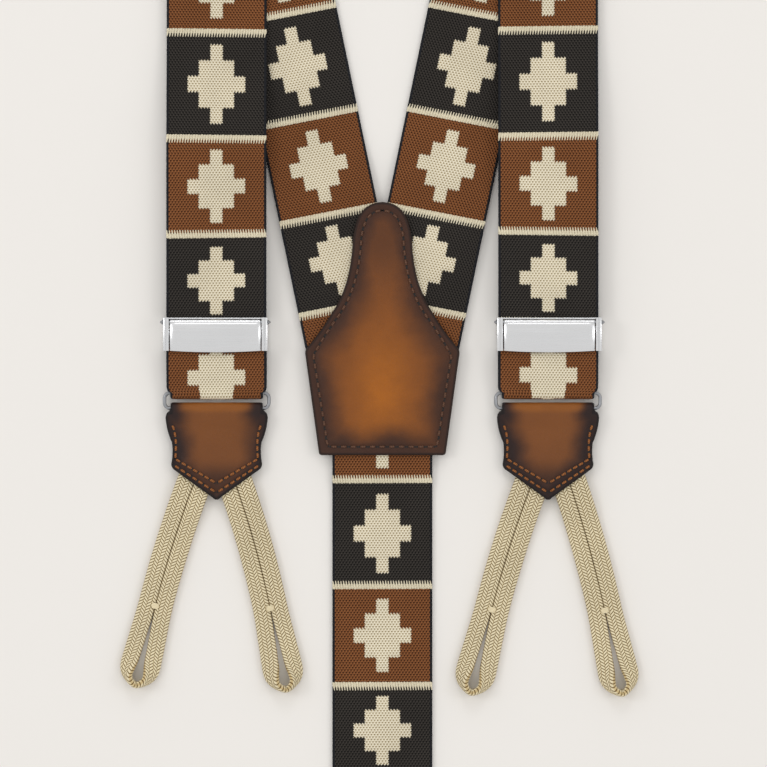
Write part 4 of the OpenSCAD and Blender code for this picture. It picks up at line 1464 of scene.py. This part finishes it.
@dataclass
class Adjuster:
    """Flip-lever adjuster: channelled frame, domed lever, and the CAD pin and bar in steel."""

    side: Side
    plate: bpy.types.Material
    wire: bpy.types.Material
    centre_y: float = 17.2
    width: float = 36.6
    height: float = 11.6
    sheet: float = 0.45
    low_z: float = 0.8
    face_z: float = 8.4
    lip: float = 2.1
    pin_y: float = 21.4
    pin_z: float = 7.4
    lever_half: float = 15.9
    knuckle_r: float = 0.98

    @property
    def x(self) -> float:
        """Centre of the adjuster."""
        return (FRONT_X + 0.3) * self.side.value

    def along_y(self, shape: Shape, section: Array, low: float, high: float) -> None:
        """Adds a bar of (x, z) section that runs along Y, with eased ends."""
        rings = []
        middle = section.mean(0)
        for y, share in ((low, 0.97), (low + 0.15, 1.0), (high - 0.15, 1.0), (high, 0.97)):
            eased = middle + (section - middle) * share
            rings.append(np.column_stack([eased[:, 0] + self.x, np.full(len(section), y), eased[:, 1]]))
        shape.tube(np.array(rings))

    def along_x(self, shape: Shape, y: tuple[float, float], z: tuple[float, float], half: float,
                r: float) -> None:
        """Adds a rounded flat bar across the adjuster.

        Args:
            shape: Shape that takes it.
            y: Its lower and upper edge.
            z: Its back and front face.
            half: Half its length.
            r: Rounding of its long edges.
        """
        turn = np.linspace(0, math.pi / 2, 4)
        corners = ((y[1] - r, z[1] - r, 0), (y[0] + r, z[1] - r, 1),
                   (y[0] + r, z[0] + r, 2), (y[1] - r, z[0] + r, 3))
        outline = np.array([(cy + r * math.cos(a + q * math.pi / 2), cz + r * math.sin(a + q * math.pi / 2))
                            for cy, cz, q in corners for a in turn])
        ends = [np.column_stack([np.full(len(outline), self.x + x), outline]) for x in (-half, half)]
        shape.tube(np.array(ends))

    def frame_piece(self) -> bpy.types.Object:
        """Builds the frame: two folded side walls, the back plate and the top bridge."""
        shape = Shape()
        half, low, high = self.width / 2, self.centre_y - self.height / 2, self.centre_y + self.height / 2
        z, t, inner = self.face_z, self.sheet, self.width / 2 - self.lip
        wall = np.array([
            (half, self.low_z + 0.1), (half, z - 0.5), (half - 0.12, z - 0.16), (half - 0.42, z + 0.02),
            (half - 0.95, z + 0.02), (half - 1.08, z - 0.1), (half - 1.21, z + 0.02), (inner + 0.16, z + 0.02),
            (inner, z - 0.12), (inner, z - 0.36), (inner + 0.14, z - 0.48), (half - t - 0.2, z - 0.48),
            (half - t, z - 0.68), (half - t, self.low_z + 0.1), (half - t / 2, self.low_z)])
        self.along_y(shape, wall, low, high)
        self.along_y(shape, wall * np.array([-1, 1]), low, high)
        self.along_x(shape, (low, low + 5.2), (4.12, 4.78), half - t, 0.2)
        self.along_x(shape, (high - 0.55, high), (6.52, 7.08), half - t, 0.2)
        piece = shape.piece(f"{self.side.word}_adjuster_frame_shell", self.plate, flat=35.0)
        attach(piece, f"{self.side.word}_adjuster")
        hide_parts(f"{self.side.word}_adjuster_frame")
        return piece

    def lever_piece(self) -> bpy.types.Object:
        """Builds the lever: bevelled domed plate, knuckle round the pin and the toothed edge."""
        shape = Shape()
        half = self.lever_half
        low = self.centre_y - self.height / 2 - 0.5
        t = np.linspace(0, 1, 15)
        y = (1 - t) ** 2 * (self.pin_y + 0.55) + 2 * t * (1 - t) * self.centre_y + t**2 * low
        z = self.pin_z + 0.75 * ((1 - t) ** 2 + t**2) + 2.1 * 2 * t * (1 - t)
        ends = np.exp(-((t / 0.05) ** 2)) + np.exp(-(((1 - t) / 0.05) ** 2))
        face = np.column_stack([y, z - 0.3 * ends])
        back = np.column_stack([y, z - 0.62 + 0.06 * ends])[::-1]
        outline = np.vstack([face, back])
        upper = np.r_[np.ones(len(face)), np.full(len(back), 0.25)]
        xs = np.array([-half, -half + 0.12, -half + 0.55, -half + 0.95, *np.linspace(-half + 2, half - 2, 9),
                       half - 0.95, half - 0.55, half - 0.12, half])
        rings = []
        for x in xs:
            out = np.clip((abs(x) - (half - 0.95)) / 0.95, 0, 1)
            bevel = 0.42 * out + 0.14 * (out > 0.99)
            bow = 0.55 * (x / half) ** 2 * smooth(self.centre_y, low, outline[:, 0])
            rings.append(np.column_stack([np.full(len(outline), self.x + x), outline[:, 0] + bow,
                                          outline[:, 1] - bevel * upper]))
        shape.tube(np.array(rings))
        a = np.linspace(0, 2 * math.pi, 20, endpoint=False)
        reach = half - 0.25
        r = self.knuckle_r
        ring = np.column_stack([self.pin_y + r * np.cos(a), self.pin_z + r * np.sin(a)])
        shape.tube(np.array([np.column_stack([np.full(20, self.x + x), ring]) for x in (-reach, reach)]))
        teeth_z = IN_ADJUSTER + WEB_T / 2 + 0.25
        for x in np.arange(-half + 0.6, half - 0.5, 1.5):
            foot = np.array([(-0.35, 0.0), (0.35, 0.0), (0.6, 1.5), (-0.6, 1.5)])
            rings = [np.column_stack([foot[:, 0] + self.x + x, np.full(4, y), teeth_z + foot[:, 1]])
                     for y in (self.pin_y - 2.6, self.pin_y - 1.6)]
            shape.tube(np.array(rings))
        piece = shape.piece(f"{self.side.word}_lever_plate", self.plate, flat=32.0)
        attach(piece, f"{self.side.word}_lever")
        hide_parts(f"{self.side.word}_lever")
        return piece

    def build(self) -> list[bpy.types.Object]:
        """Builds the frame and lever and dresses the pin and the rear bar."""
        dress(f"{self.side.word}_pivot_pin", self.wire)
        dress(f"{self.side.word}_rear_bar", self.plate)
        return [self.frame_piece(), self.lever_piece()]


def dress(node: str, material: bpy.types.Material) -> None:
    """Gives a CAD node that stays in view its finish."""
    slots = frame["nodes"][node].data.materials
    slots.clear()
    slots.append(material)
    LOG.info("dressed %s in %s", node, material.name)


# ---------- studio ----------


@dataclass
class Studio:
    """Pale floor, soft light from three sides and a camera that looks straight down."""

    view_width: float = 0.26845
    lens: float = 200.0
    sensor: float = 36.0
    floor: str = "#efece8"

    def camera(self) -> None:
        """Adds the camera."""
        data = bpy.data.cameras.new("camera")
        data.lens = self.lens
        data.sensor_width = self.sensor
        camera = bpy.data.objects.new("camera", data)
        camera.location = (0.0004, DATUM_Y, self.view_width * self.lens / self.sensor + 0.003)
        bpy.context.scene.collection.objects.link(camera)
        bpy.context.scene.camera = camera

    def lamp(self, name: str, place: tuple[float, float, float], size: float, watts: float) -> None:
        """Adds a square soft light that faces the middle of the braces."""
        data = bpy.data.lights.new(name, "AREA")
        data.size = size
        data.energy = watts
        lamp = bpy.data.objects.new(name, data)
        lamp.location = place
        aim = np.array([0.0, DATUM_Y, 0.0]) - np.array(place)
        tip = math.atan2(math.hypot(aim[0], aim[1]), -aim[2])
        lamp.rotation_euler = (tip, 0.0, math.atan2(-aim[0], aim[1]))
        bpy.context.scene.collection.objects.link(lamp)

    def light(self) -> None:
        """Adds the lights and the pale surroundings."""
        scene = bpy.context.scene
        scene.view_settings.view_transform = "Standard"
        scene.world = bpy.data.worlds.new("studio")
        scene.world.use_nodes = True
        sky = scene.world.node_tree.nodes["Background"]
        sky.inputs["Color"].default_value = (1.0, 0.99, 0.975, 1.0)
        sky.inputs["Strength"].default_value = 0.82
        self.lamp("left", (-1.5, DATUM_Y + 0.4, 1.5), 0.6, 5.0)
        self.lamp("right", (1.5, DATUM_Y + 0.2, 1.5), 0.6, 3.0)
        self.lamp("head", (0.0, DATUM_Y + 1.7, 1.5), 0.6, 4.0)

    def ground(self, effects: Effects) -> None:
        """Adds the floor."""
        look = Finish("floor", effects)
        colour = linear(self.floor)
        drift = effects.place(look.sheet, effects.drift, Place=look.space, Color=colour, Amount=0.004)
        look.set(Base_Color=drift["Color"], Roughness=0.7, Specular_IOR_Level=0.2)
        mesh = bpy.data.meshes.new("floor")
        r = 4.0
        mesh.from_pydata([(-r, -r, 0), (r, -r, 0), (r, r, 0), (-r, r, 0)], [], [(0, 1, 2, 3)])
        mesh.materials.append(look.material)
        floor = bpy.data.objects.new("floor", mesh)
        floor.location = (0.0, 0.0, -0.0002)
        bpy.context.scene.collection.objects.link(floor)


# ---------- the braces ----------


@dataclass
class Braces:
    """All the finishes and sub-assemblies."""

    effects: Effects = field(default_factory=Effects)

    def __post_init__(self) -> None:
        """Builds every finish."""
        effects = self.effects
        self.webbing = WebbingFinish().build(effects)
        self.patch_leather = LeatherFinish("patch_leather_finish").build(effects)
        self.tab_leather = LeatherFinish("tab_leather_finish", heart="#8f5520", middle="#744523",
                                         margin="#2a1b19", rim="#191112", reach=9.5,
                                         roughness=0.38).build(effects)
        self.lining = LeatherFinish("lining_leather_finish", heart="#4a2f22", middle="#412a20",
                                    margin="#2c1c16", reach=4.0, roughness=0.6,
                                    crease=0.9).build(effects)
        self.tan_thread = ThreadFinish("tan_thread", "#a9672c", "#5e3010").build(effects)
        self.dark_thread = ThreadFinish("dark_thread", "#6e4831", "#38231a").build(effects)
        # Near-black finish: painted shade in the needle holes.
        self.hole = ThreadFinish("needle_hole", "#0d0806", "#050302").build(effects)
        self.cotton = BraidFinish().build(effects)
        self.plate = SteelFinish("polished_steel", "#e2e3e5", 0.24).build(effects)
        self.wire = SteelFinish("wire_steel", "#9b9da1", 0.33).build(effects)

    def tabs(self) -> list[LeatherTab]:
        """The three tabs with their loops."""
        left = (Loop(-8.6, -20.5, -14.0, 71.6), Loop(7.1, 19.0, 11.6, 72.5))
        right = (Loop(-6.3, -20.5, -14.3, 74.4), Loop(8.1, 18.5, 12.2, 74.0))
        back = (Loop(-7.6, -17.0, -12.0, 72.0), Loop(7.6, 17.0, 12.0, 72.0))
        rows = (("left_tab", (-FRONT_X, 0.0), left), ("right_tab", (FRONT_X, 0.0), right),
                ("back_tab", (0.0, -BACK_SHIFT), back))
        return [LeatherTab(name, name, centre, loops, self.tab_leather, self.tan_thread, self.hole)
                for name, centre, loops in rows]

    def cords(self) -> None:
        """Builds the six button loops and their knots."""
        names = {"left_tab": ("left_outer_braid", "left_inner_braid"),
                 "right_tab": ("right_inner_braid", "right_outer_braid"),
                 "back_tab": ("back_left_braid", "back_right_braid")}
        for tab in self.tabs():
            for i, (loop, node) in enumerate(zip(tab.loops, names[tab.prefix])):
                tack = BarTack(loop, tab.centre).build(f"{node}_knot", tab.body, self.cotton)
                if i == 0:
                    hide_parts(tab.prefix.replace("tab", "bar_tacks"))
                braid = ButtonLoop(f"{node}_cord", loop, tab.centre, tab.body, node, self.cotton)
                LOG.info("built %s", braid.build(tack).name)

    def build(self) -> None:
        """Builds the straps, patch, adjusters, rings and tabs."""
        parts = [ShoulderStrap(Side.LEFT, self.webbing, self.dark_thread),
                 ShoulderStrap(Side.RIGHT, self.webbing, self.dark_thread, lift=0.95),
                 BackStrap(self.webbing, self.dark_thread),
                 JunctionPatch(self.patch_leather, self.lining, self.dark_thread, self.hole),
                 Adjuster(Side.LEFT, self.plate, self.wire), Adjuster(Side.RIGHT, self.plate, self.wire),
                 *self.tabs()]
        for part in parts:
            for piece in part.build():
                LOG.info("built %s: %d faces", piece.name, len(piece.data.polygons))
        for ring in ("left_ring", "right_ring", "back_ring"):
            dress(ring, self.wire)


def main() -> None:
    """Builds the studio and the braces."""
    logging.basicConfig(level=logging.INFO, format="%(name)s: %(message)s")
    studio = Studio()
    studio.camera()
    braces = Braces()
    braces.cords()
    braces.build()
    studio.light()
    studio.ground(braces.effects)


if __name__ == "__main__":
    main()
